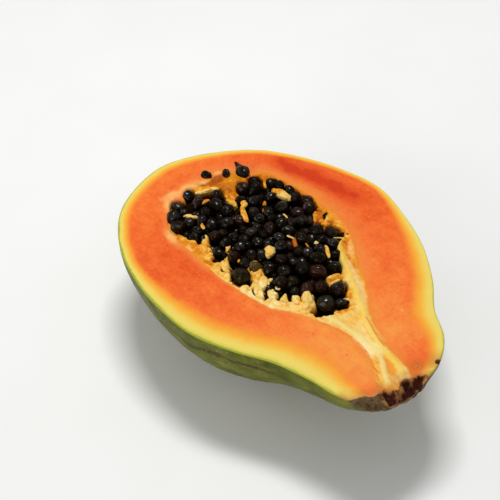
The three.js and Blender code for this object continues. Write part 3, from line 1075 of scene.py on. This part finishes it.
# %% Seeds on the heap: places across and down the picture, and widths in it
SEEN_SEEDS = {
    "plain": [(254.5, 182, 12), (188, 197.5, 13), (198, 203, 13), (216.5, 196, 13), (216, 206, 15),
        (228, 210.5, 14), (173.5, 219.5, 14), (178, 228.5, 15), (189.5, 223, 13), (202, 221, 12.5),
        (197, 231.5, 12), (194, 238, 12.5), (227, 224, 15), (243, 189, 14), (255.5, 189, 14),
        (241.5, 201, 12), (254.5, 202, 15), (253.5, 214, 13), (259, 219.5, 13), (251.5, 233, 13),
        (233.5, 238, 12), (244.5, 240, 12), (226, 244, 13), (258.5, 243, 12.5), (270.5, 184.5, 14),
        (280, 185.5, 11), (290, 190.5, 12), (294.5, 198, 14), (270.5, 198, 13), (281.5, 208, 15),
        (307, 202, 13.5), (308.5, 209.5, 15), (296.5, 213.5, 13.5), (268.5, 213.5, 12.5),
        (281.5, 223.5, 14), (310.5, 221, 13), (289, 231.5, 14), (316.5, 231, 15.5), (301, 238.5, 15),
        (332, 234, 15.5), (278.5, 238.5, 12), (281.5, 247, 13.5), (333, 244, 13.5), (320, 250, 13),
        (299.5, 252, 13.5), (217.5, 252.5, 12.5), (234, 257, 14), (240.5, 248, 13.5), (251, 255.5, 13),
        (245, 263.5, 13), (269, 269, 15.5), (284, 273.5, 16), (281, 260, 13), (268.5, 244.5, 12.5),
        (304, 269.5, 18), (318, 258.5, 15.5), (333.5, 268, 15.5), (335.5, 255, 11), (338.5, 289.5, 16.5),
        (321, 287.5, 15.5), (295, 292, 11), (281.5, 282, 14), (311.5, 284.5, 10), (262, 256, 12),
        (308, 253, 12), (257, 228, 11), (263, 235, 10), (273, 219, 10), (290, 258, 12), (294, 262.5, 11),
        (248, 246, 10), (222, 234, 11), (206, 213, 12), (286, 197.5, 9), (322, 241, 13), (311, 240, 11),
        (292, 223, 10), (185, 214, 11)],
    "small": [(205, 240, 9), (342.5, 235.5, 7), (343, 242.5, 8), (225, 256, 9)],
    "flat": [(179, 209, 15), (341, 303, 13.5)],
    "ridged": [(212.5, 225, 13), (216, 236, 12), (269.5, 229, 14)],
    "rough": [(301, 222, 15.5)],
    "brown": [(239.5, 220.5, 12), (289.5, 246, 10), (318.5, 272, 16.5), (307, 290, 15)],
    "olive": [(240.5, 276, 17.8), (326, 303.5, 17.5), (292, 282.5, 15)],
    "clear": [(255, 267.5, 13.5)],
}

# %% Seeds beside the heap, and flecks: x, y, height above the cut face and radius
BESIDE = [
    ("pointed", (-55.9, 18.8, 0, 3.4)), ("chipped", (-64.4, 5.4, 0.3, 2.4)),
    ("chipped", (-59.1, 12.6, 0.5, 2.1)),
]
FLECKS = [(-11.3, 28, 0.3, 0.9), (-10.6, 27.3, 0.2, 0.7), (3.4, 27.6, -0.2, 0.8)]

# %% Heights of the heap
HEAP_HALF = np.array([52.75, 30.75])
HEAP_TOP, HEAP_FALL = 1.2, 3.7


def heap_height(places):
    """Height of the middle of the top seeds, above the cut face."""
    off = np.linalg.norm((places[:, :2] - MIDDLE) / HEAP_HALF, axis=1)
    return HEAP_TOP - HEAP_FALL * np.minimum(off, 1.15) ** 2


def share_of_mouth(places):
    """0 in the middle of the mouth, 1 at its edge."""
    where, distance = polar(places)
    return distance / mouth_at(where)


# %% [markdown]
# Where two seeds overlap, both give way, mostly along their lines of sight, so that each stays where
# it shows in the picture. In many small steps every seed is also drawn back to the surface of the
# heap and to its own line, and lifted where it would sink into the wall.

# %% Settle the seeds on the heap
STEPS = 600
CLOSENESS = 0.93  # gap that two seeds keep, against the sum of their radii
GIVE, GIVE_ASIDE = 0.5, 0.1  # share of a push taken in one step, and of that across the line
TO_HEAP, TO_LINE = 0.01, 0.05  # share of the way back in one step
WALL_GAP, OFF_WALL = 0.75, 0.5  # gap to the wall against the radius, and share of a lift in one step
APART_FROM_ITSELF = 99 * np.eye(sum(map(len, SEEN_SEEDS.values())))


def split(move, sight):
    """The parts of a move along the line of sight and across it."""
    along = (move * sight).sum(1)[:, None] * sight
    return along, move - along


def settle(seen):
    """Place and radius of each seed, from its place and width in the picture."""
    lines = sight_lines(seen)
    height = np.zeros(len(seen))
    for _ in range(20):
        home = eye + lines * ((height - eye[2]) / lines[:, 2])[:, None]
        height = (height + heap_height(home)) / 2
    far = np.linalg.norm(home - eye, axis=1)
    sight = (home - eye) / far[:, None]
    radius = seen[:, 2] * far / PICTURE_FAR / 2
    places = home.copy()
    for _ in range(STEPS):
        apart = places[:, None] - places
        gap = np.linalg.norm(apart, axis=2) + APART_FROM_ITSELF
        overlap = np.clip(CLOSENESS * (radius[:, None] + radius) - gap, 0, None)
        along, aside = split((apart * (overlap / gap / 2)[..., None]).sum(1), sight)
        places += GIVE * (along + GIVE_ASIDE * aside)
        places += TO_HEAP * ((heap_height(places) - places[:, 2]) / sight[:, 2])[:, None] * sight
        places += TO_LINE * split(home - places, sight)[1]
        angle, out = polar(places)
        wall = hollow_depth(np.clip(out / reach(mouth, angle), 0, 1), angle, 0)
        places[:, 2] += OFF_WALL * np.clip(WALL_GAP * radius - wall - places[:, 2], 0, None)
    return np.column_stack([places, radius]).round(1).tolist()


KINDS = ["plain", "pointed", "chipped", "small", "flat", "ridged", "rough", "brown", "olive", "clear"]
kinds = [name for name, seeds in SEEN_SEEDS.items() for _ in seeds]
settled = settle(np.array([seed for seeds in SEEN_SEEDS.values() for seed in seeds]))
top = sorted([*zip(kinds, settled), *BESIDE], key=lambda seed: KINDS.index(seed[0]))
print("the highest seed on the heap reaches", max(seed[2] + seed[3] for seed in settled), "mm")

# %% Dart throwing
TRIES = 2500


def throw_darts(rng, taken, height, radius, reach_share, spacing):
    """Places for more seeds at a height against the heap's, clear of each other and of those taken."""
    kept = []
    for flat in rng.uniform(mouth.min(0), mouth.max(0), (TRIES, 2)):
        size = rng.uniform(*radius)
        z = heap_height(flat[None])[0] + height + rng.uniform(-0.5, 0.5)
        place = np.array([*flat, z])
        if share_of_mouth(flat[None])[0] > reach_share:
            continue
        others = np.array(taken + kept)
        gap = np.linalg.norm(others[:, :3] - place, axis=1) - spacing * (others[:, 3] + size)
        if gap.min() > 0:
            kept.append((*place, size))
    return kept


rng = np.random.default_rng(7)  # a fixed start, so every run draws the same
taken = [seed for _, seed in top]
between = throw_darts(rng, taken, height=-2.2, radius=(2.2, 2.8), reach_share=0.86, spacing=0.86)
below = throw_darts(
    rng, taken + between, height=-5.2, radius=(2.4, 2.9), reach_share=0.78, spacing=0.84)
print(len(top), "seeds on top,", len(between), "between,", len(below), "below")

# %% [markdown]
# A seed is drawn out a little along one axis and narrower at one end. Pointed seeds end in a beak,
# flat ones are squeezed, chipped ones have corners. The jelly shows as soft lumps.

# %% The shape of one seed
def ball(level):
    """Points and triangles of a round ball."""
    mesh = bmesh.new()
    bmesh.ops.create_icosphere(mesh, subdivisions=level, radius=1.0)
    unit = np.array([v.co for v in mesh.verts])
    triangles = np.array([[v.index for v in f.verts] for f in mesh.faces])
    mesh.free()
    return unit, triangles


STRETCH = {
    "plain": (1.10, 0.98, 0.94), "pointed": (1.22, 1.0, 0.9), "chipped": (1.05, 0.95, 0.8),
    "small": (1.15, 0.9, 0.85), "flat": (1.20, 1.0, 0.66), "ridged": (1.16, 0.95, 0.9),
    "rough": (1.08, 1.0, 0.95), "brown": (1.14, 0.96, 0.92), "olive": (1.10, 1.0, 0.96),
    "clear": (1.1, 0.95, 0.9), "fleck": (1.4, 0.6, 0.4), "deep": (1.10, 0.98, 0.94),
}
LUMPS = {"chipped": 0.16, "rough": 0.07, "small": 0.10, "clear": 0.06, "fleck": 0.25}
RIDGES = {"ridged": 0.035, "rough": 0.03, "pointed": 0.015, "brown": 0.02}
TINTS = {"brown": 0.42, "olive": 0.72, "clear": 1.0, "fleck": 0.2}
BEAK = 1.2
BEAK_HEADING = np.pi - 0.26


def pull_tip(body, unit, length):
    """Draws the +X end out to a tip, the longer the more slender."""
    ahead = np.clip(unit[:, :1], 0, 1)
    body[:, :1] += length * ahead ** (2.5 + 1.5 * max(0, length))
    body[:, 1:] *= 1 - 0.45 * min(1, length / 0.9) * ahead**1.5


def seed_shape(kind, seed, unit, rng):
    """Points of one seed in millimetres."""
    at = unit + rng.uniform(0, 90, 3)
    body = unit * (1 - 0.06 * unit[:, :1] * (1, 1.4, 1.4))
    soft = LUMPS.get(kind, 0.065) * lumpy(at * 2, 1.0, 20) + 0.02 * lumpy(at * 6, 1.0, 21)
    body += unit * (soft - 0.05 * np.abs(lumpy(at * 2.6, 1.0, 23)))[:, None]
    turn = np.arctan2(unit[:, 2], unit[:, 1])
    ridge = RIDGES.get(kind, rng.uniform(0, 0.028))
    ridge = ridge * np.cos(rng.integers(7, 11) * turn + 2 * lumpy(at, 1.0, 22))
    body += unit * (ridge * (1 - unit[:, 0] ** 2))[:, None]
    for pressed in rng.normal(0, 1, (3, 3)):
        pressed /= np.linalg.norm(pressed)
        body -= 0.55 * np.clip(body @ pressed - 0.86, 0, None)[:, None] * pressed
    pull_tip(body, unit, BEAK if kind == "pointed" else max(0, rng.uniform(-0.3, 0.3)))
    body *= np.array(STRETCH[kind]) * rng.uniform(0.94, 1.06, 3)
    if kind == "pointed":
        lean, heading = 0.05, BEAK_HEADING
    else:
        lean, heading = rng.normal(0, 0.45), rng.uniform(0, 2 * np.pi)
    turned = Matrix.Rotation(heading, 3, "Z") @ Matrix.Rotation(lean, 3, "Y")
    turned = turned @ Matrix.Rotation(rng.uniform(0, 2 * np.pi), 3, "X")
    return seed[3] * body @ np.array(turned).T + (seed[0], seed[1], CUT_Z + seed[2])


# %% Join the seeds
def join_shapes(shapes):
    """One list of points and one of faces, from many."""
    starts = np.cumsum([0] + [len(p) for p, _ in shapes])
    faces = [f + s for (_, f), s in zip(shapes, starts)]
    return np.vstack([p for p, _ in shapes]), np.vstack(faces).tolist()


fine_ball, plain_ball = ball(4), ball(3)
shapes, tints = [], []
crowd = top + [("fleck", seed) for seed in FLECKS] + [("deep", seed) for seed in between + below]
for kind, seed in crowd:
    unit, triangles = plain_ball if kind == "deep" else fine_ball
    shapes.append((seed_shape(kind, seed, unit, rng), triangles))
    tints.append(np.full(len(unit), TINTS.get(kind, rng.uniform(0, 0.3))))
seed_points, seed_faces = join_shapes(shapes)
print(len(crowd), "seeds,", len(seed_faces), "triangles")

# %% [markdown]
# The seed coat is dark and wrinkled, and the jelly over it is glossy. Light glints off the jelly in
# soft, broken spots. A coat layer on the shader is that jelly: its shine is separate from the rougher
# seed below. On brown and olive seeds more colour comes through.

# %% The finish of the seeds
def seed_finish():
    material, at = new_finish("seed")
    wrinkle = noise(at, 0.7, 3.0, 0.7)
    crease = noise(at, 1.6, 2.0, 0.5)
    film = noise(at, 1.7, 3.0, 0.6) * 0.65 + noise(at, 5.5, 1.0, 0.5) * 0.35
    tint = sway(known(at, "tint"), film, 0.3)
    dark = ramp(
        tint, (0.0, "#0B0602"), (0.2, "#100A03"), (0.42, "#2E1105"), (0.62, "#161004"), (0.8, "#201A05"),
        (1.0, "#4A3810"))
    dusty = mix(step(wrinkle, 0.58, 0.75) * step(crease, 0.5, 0.68) * 0.3, dark, "#1C160E")
    jelly = step(film, 0.45, 0.6)
    # lighter brown-olive where the jelly film lies: the jelly's own tint, and a painted warm sheen
    wet = mix(step(film, 0.52, 0.68) * step(tint, 0.4, 0.2) * 0.6, dusty, "#1C1507")
    surface(
        at, Base_Color=wet, Roughness=0.34 - jelly * 0.1, Specular_IOR_Level=0.07, IOR=1.4,
        Specular_Tint=(1.0, 0.8, 0.48, 1.0), Normal=bump(wrinkle * 0.55 + crease * 0.45, 0.55),
        Coat_Weight=0.02 + jelly * 0.98, Coat_Roughness=0.19, Coat_IOR=1.4)
    return material


seeds = make_piece("seeds", seed_points, seed_faces, [seed_finish()])
inform(seeds, {"tint": np.concatenate(tints)})
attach(seeds, "root")
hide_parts(HEAP)

# %% [markdown]
# ## Lining
#
# Soft tissue lines the hollow and carries the seeds. From the mouth it comes inward as a shelf,
# level with the cut face, up to the torn edge of the pool. There it drops to the bed that the lowest
# seeds lie on. A few mounds and folds raise it. Its outer edge runs a little way over the lip and dips
# under the cut face, so the two pieces read as one surface, and both carry the same finish.

# %% Where the lining comes up: x, y, reach, rise
FOLDS = [
    (-52.5, 12.5, 3, 1.5), (-52, 7.4, 2.6, 1.4), (-46.5, 5.6, 2.4, 1.1), (-42, 3, 1.8, 0.9),
    (-55.6, 1.4, 2, 0.3), (-59.5, 8, 2.2, -0.8), (-48.3, 7.2, 1, -1.2), (24, -10, 3.2, 0.9),
    (10.3, -18, 1.9, 0.7), (3.5, -17.5, 2.6, 0.6), (14.2, -15.4, 1.6, 0.6), (-3, -16.4, 2, 0.7),
    (-22, -15, 1.8, 0.8), (-29, -20.5, 2.6, 0.5), (19.3, 6, 1.9, 1), (-13, 25.5, 2.6, 0.5),
]
BED_DEPTH = 5.6
OVERLAP = 2.6
ARC = 28  # about the mouth's reach: turns a direction into millimetres along the edge


def lining_height(places, found):
    """Height of the lining's surface, from the cut face, and how deep in a crease each place is."""
    where, out = polar(places)
    drift = 0.35 * lumpy(places, 3.5, 38), 0.35 * lumpy(places, 3.0, 39)
    tongue = pillows(np.column_stack([where * ARC / 3.1 + drift[0], out / 4.2 + drift[1]]), 34)
    wander = 0.4 * lumpy(places, 3.0, 37)[:, None]
    streaks = lumpy(np.column_stack([where * ARC / 6, out / 1.1]) + wander, 1.0, 37)
    busy = 0.45 + 0.55 * smooth_step(places[:, 0], -36, -26)
    busy *= smooth_step(found["upper"], 1.6, 3.2) * (0.3 + 0.7 * smooth_step(found["tone"], 0.1, 0.35))
    beyond = depth_in(mouth, places)
    edge = beyond + 0.7 * lumpy(places, 1.9, 33)
    cover = 0.16 * smooth_step(edge, -1.6, -0.4) - 0.5 * (1 - smooth_step(edge, -2.4, -1.2))
    soft = smooth_step(found["tissue"], -0.3, 1.2)
    calm = 0.4 + 0.6 * smooth_step(found["tone"], 0.2, 0.4)
    torn = soft * smooth_step(beyond, -1.0, 1.5) * smooth_step(found["pool"], -8, -2)
    lumps = calm * (0.36 * lumpy(places, 3.0, 30) + 0.14 * lumpy(places, 1.2, 31) + 0.22 * streaks)
    shelf = cover + relief_of(found, places) + (lumps + 0.9 * (tongue - 0.6) * busy) * torn
    for x, y, size, rise in FOLDS:
        shelf += rise * spot(places, x, y, size)
    shelf -= 1.4 * (1 - smooth_step(found["slit"] + 0.3 * lumpy(places, 1.0, 35), 0.0, 0.7))
    bed = heap_height(places) - BED_DEPTH
    inside = found["pool"] + 0.25 * lumpy(places, 1.4, 32) + busy * (1.4 * (0.8 - tongue) * soft - 0.1)
    return shelf + (bed - shelf) * smooth_step(inside, -0.8, 1.5), (1 - tongue) * torn * busy


# %% The top of the lining
LINING_AROUND = 560
turns = np.arange(LINING_AROUND) / LINING_AROUND * 2 * np.pi - np.pi
lining_ways = np.stack([np.cos(turns), np.sin(turns)], 1)
mouth_out = reach(mouth, turns)
shares = 1 - (1 - np.linspace(0.02, 1, 118)) ** 1.1
flat_rings = [ring((mouth_out + OVERLAP) * share, 0.0, lining_ways) for share in shares]
lining_top = np.vstack([[*MIDDLE, 0.0], *flat_rings])
lining_found = measure(lining_top[:, :2])
height, lining_found["crease"] = lining_height(lining_top[:, :2], lining_found)
# how far the lining lies below the cut face; the finish paints shade by it
lining_found["sunk"] = np.maximum(0, -height - 0.4)
lining_top[:, 2] = CUT_Z + height

# %% Its underside, a little below the wall of the hollow
THICKNESS = 1.6
under = []
for turn in np.radians(np.linspace(4, 84, 12)):
    out = mouth_out * np.cos(turn) + OVERLAP * np.cos(turn) ** 30
    depth = hollow_depth(np.cos(turn), turns, LIP) + THICKNESS
    under.append(ring(out, CUT_Z - depth, lining_ways))
lining_points = np.vstack([lining_top, *under, [*MIDDLE, CUT_Z - HOLLOW_DEPTH - 1]])
UNSEEN = {"lip": 0, "pit": -9, "down": 9, "cork": -30, "sunk": 9, "tissue": 5, "flap": -9}
for name in [*lining_found, "lip", "pit", "down"]:
    beneath = float(UNSEEN.get(name, 50))
    numbers = np.full(len(lining_points), beneath)
    numbers[: len(lining_top)] = lining_found.get(name, beneath)
    lining_found[name] = numbers

# %% Finish the lining
lining_faces = closed_faces(len(flat_rings) + len(under), LINING_AROUND)
lining = make_piece("pulp_lining", lining_points, lining_faces, [cut_flesh])
inform(lining, lining_found)
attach(lining, "root")

# %% [markdown]
# ## Loose pulp
#
# Bits of torn pulp lie between the seeds: soft, grainy lobes. Each is a ball pulled out between two
# places with a radius at each, then roughened. A lobe's tone says whether it is amber and wet or pale
# and dry.

# %% Places of the lobes: x, y, height, radius at one end and the other, tone
LOBES = [
    (-36.3, 20.9, 0.5, 1.3, -33, 22.3, 0.7, 1.9, 0.5), (-33.4, 21.9, 0.5, 1.9, -29.8, 22.6, 0.3, 1.8, 0.62),
    (-38.4, 6.2, 1.2, 1.3, -36.8, 4.8, 1.6, 1.2, 0.5), (-36.4, 4.1, 1.6, 1, -28.6, -0.2, 2, 1.2, 0.45),
    (-58.4, -4.4, -0.4, 0.8, -57.4, -2.8, -0.3, 0.8, 0.95),
    (-56.8, -1.6, -0.3, 1.3, -54.4, 3.4, -0.2, 1.1, 0.66),
    (-50.4, -16.8, -1, 0.8, -48, -14.6, -0.5, 1.1, 0.75),
    (-48.2, -16, -0.6, 0.9, -46.4, -13.9, -0.4, 0.9, 0.85),
    (-51.6, -6.2, -0.6, 0.8, -51.4, -3.3, -0.5, 0.8, 0.4),
    (-40.9, -14.6, -0.5, 0.9, -39, -15.2, -0.5, 0.8, 0.45), (-34.8, 14, -0.5, 1, -30.2, 9.4, 0.1, 0.9, 0.3),
    (-21.4, 14, 1.5, 0.5, -19.2, 13.8, 1.5, 0.5, 0.6), (-10, 6.8, 1.8, 0.7, -6.8, 8, 1.6, 0.7, 0.75),
    (-6.8, 7.6, 1.3, 0.8, -4.4, 6.2, 0.9, 0.9, 0.1), (-2.2, 13, 1.3, 0.9, 0.2, 13.8, 1.1, 1.2, 0.8),
    (-1.8, 9.4, 1.8, 0.5, 2.4, 8.2, 1.6, 0.6, 0.3), (4.6, 14.9, 1.2, 0.9, 9, 12.2, 1.2, 1.1, 0.55),
    (-8.6, -4.4, 1.7, 2.2, -7.2, -5.6, 1.9, 2.1, 0.68), (-8.4, -7.4, 1.1, 1.3, -8, -9.6, 0.9, 1.2, 0.7),
    (-14, -16.6, 0.6, 0.7, -12.8, -17.1, 0.5, 0.6, 0.4), (-23.2, -14, 0.2, 1, -21.4, -16, 0.2, 1.2, 0.55),
    (-20.4, -17.6, -0.3, 1, -16.6, -20.6, -0.6, 1.1, 0.5),
    (-33.4, -18.4, -1.6, 1.1, -27, -20.8, -1, 1.4, 0.35),
    (-17.4, -21.4, -0.9, 0.9, -13.2, -23.6, -0.5, 1, 0.6), (-5, -13, -0.8, 1.9, -1.2, -17.4, -0.9, 2.2, 0.5),
    (-8.4, -12.4, -0.4, 1.2, -6.6, -16.6, -0.7, 1.7, 0.45), (1, -15.6, -0.9, 1.9, 3.6, -17.8, -0.8, 2, 0.72),
    (3.6, -13.6, -0.3, 0.9, 4.4, -17.6, -0.5, 1.2, 0.66), (8.9, -13.7, 0.6, 1, 9.6, -14.3, 0.5, 1.1, 1.1),
    (8.8, -17.6, -0.4, 1.3, 11.4, -18.4, -0.3, 1.3, 0.85),
    (13.6, -14.6, -0.5, 0.9, 15.4, -16.4, -0.3, 1.1, 0.6), (20.2, -8.6, 0, 2, 23, -10.4, 0.1, 2.6, 0.72),
    (22.6, -9.8, -0.2, 2.4, 24.8, -12.8, -0.2, 2.1, 0.66),
    (17.6, -12.6, -0.6, 1.2, 20, -13.8, -0.4, 1.4, 0.7), (19.6, 8.6, -0.3, 0.8, 18.4, 4.8, -0.2, 1.2, 0.6),
    (20.6, 3.6, -0.4, 0.7, 21, 6.8, -0.4, 0.8, 0.7), (30.4, 1.6, -0.8, 0.5, 31.8, 2.6, -0.4, 0.6, 0.8),
    (-47.8, 4.2, 0, 1, -44.4, 5, 0.2, 1.2, 0.35), (-45.2, 2.2, 0.4, 0.8, -40.6, 2.6, 0.6, 0.9, 0.6),
    (-8.8, 27.6, 0, 0.8, -6.8, 25, -0.2, 0.9, 0.45), (-13.8, 24.6, -0.2, 0.9, -11.4, 22.8, -0.3, 0.8, 0.4),
    (1.6, 21.8, -0.2, 0.4, 4, 24, 0, 0.5, 0.7), (-44.8, 23, -0.3, 0.6, -41.2, 20.4, 0.2, 0.6, 0.5),
    (-51.8, 19.8, 0.2, 0.4, -50.9, 17.4, 0.3, 0.5, 0.02),
]


def lobe_shape(lobe, unit):
    """A ball pulled out between two places, then roughened."""
    first, radius, second, end_radius = np.array(lobe[:3]), lobe[3], np.array(lobe[4:7]), lobe[7]
    apart = second - first
    length = np.linalg.norm(apart)
    along = unit @ (apart / length)
    size = radius + (end_radius - radius) * (1 + along) / 2
    at = unit * size[:, None] + rng.uniform(0, 90, 3)
    rough = 0.34 * lumpy(at, 1.7, 40) + 0.18 * lumpy(at, 0.75, 41) - 0.34 * np.abs(lumpy(at, 1.0, 42))
    rough *= np.clip(1.9 - 0.6 * size, 0.5, 1.5)
    pulled = along * (1.5 - 0.5 * along**2)
    bend = (1 - along**2)[:, None] * rng.normal(0, 0.09 * length, 3) * (1, 1, 0.3)
    round_part = unit * (size * (1.08 + rough))[:, None] * (1, 1, 0.8)
    return (first + second) / 2 + pulled[:, None] * apart / 2 + bend + round_part + (0, 0, CUT_Z)


unit, triangles = fine_ball
lobe_points, lobe_faces = join_shapes([(lobe_shape(lobe, unit), triangles) for lobe in LOBES])
print(len(LOBES), "lobes,", len(lobe_faces), "triangles")

# %% The finish of loose pulp
def pulp_finish():
    material, at = new_finish("pulp")
    blotch = noise(at, 6.5, 3.0, 0.55)
    colour, fibres, clump = tissue_colour(at, blotch)
    surface(
        at, Base_Color=colour, Roughness=0.32 + clump * 0.25, Normal=bump(fibres * 0.5 + clump * 0.5, 0.4),
        IOR=1.38, Specular_IOR_Level=0.28, Subsurface_Weight=0.25, Subsurface_Radius=(1.0, 0.6, 0.2),
        Subsurface_Scale=0.0015)
    return material


lobes = make_piece("pulp_lobes", lobe_points, lobe_faces, [pulp_finish()])
lobe_tones = np.repeat([lobe[8] for lobe in LOBES], len(unit))
inform(lobes, {"tone": lobe_tones, "crease": 0 * lobe_tones, "pool": 0 * lobe_tones})
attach(lobes, "root")

# %% [markdown]
# ## Floor, light and camera
#
# A pale floor and soft light show food as it is. A small bright panel above and behind makes the
# seeds glint near their tops and gives the fruit its shadow. Two wide weak panels, low in front and
# low at the left, light the skin, and a dim even surrounding keeps the shadows open.

# %% Floor
FLOOR_SIZE = 6.0


def floor_finish():
    material, at = new_finish("floor_paint")
    tone = noise(at, 60.0, 2.0, 0.5)
    colour = ramp(tone, (0.3, "#F4F4F2"), (0.7, "#F7F7F6"))
    surface(at, Base_Color=colour, Roughness=0.7, Specular_IOR_Level=0.2)
    return material


bpy.ops.mesh.primitive_plane_add(size=FLOOR_SIZE, location=(0, 0, 0))
floor = bpy.context.object
floor.name = "floor"
floor.data.materials.append(floor_finish())


# %% Lights
LIT_PLACE = Vector((0, 0, 0.03))
SURROUNDING = 0.32  # strength of the light from all sides


def soft_light(name, azimuth, elevation, distance, width, height, power):
    """A light panel that faces the fruit."""
    away = Vector(direction(azimuth, elevation))
    light = bpy.data.lights.new(name, "AREA")
    light.shape = "RECTANGLE"
    light.size = width
    light.size_y = height
    light.energy = power
    holder = put_in_scene(name, light)
    holder.location = LIT_PLACE + away * distance
    holder.rotation_euler = away.to_track_quat("Z", "Y").to_euler()


soft_light("key_light", 230, 76, 0.9, 0.32, 0.15, 5.2)
soft_light("fill_light", 15, 20, 1.2, 1.1, 0.8, 4.2)
soft_light("left_light", -65, 13, 1.2, 1.2, 0.5, 2.2)
world = bpy.data.worlds.new("surrounding")
bpy.context.scene.world = world
world.use_nodes = True
background = world.node_tree.nodes["Background"].inputs
background["Color"].default_value = (1, 1, 1, 1)
background["Strength"].default_value = SURROUNDING
bpy.context.scene.view_settings.view_transform = "Standard"

# %% Camera
camera = put_in_scene("camera", bpy.data.cameras.new("camera"))
camera.location = Vector(eye + (0, 0, CUT_Z)) * MM
upright = Vector(towards_camera).to_track_quat("Z", "Y").to_matrix()
camera.rotation_euler = (upright @ Matrix.Rotation(np.radians(ROLL), 3, "Z")).to_euler()
camera.data.sensor_width, camera.data.lens = SENSOR, LENS
bpy.context.scene.camera = camera
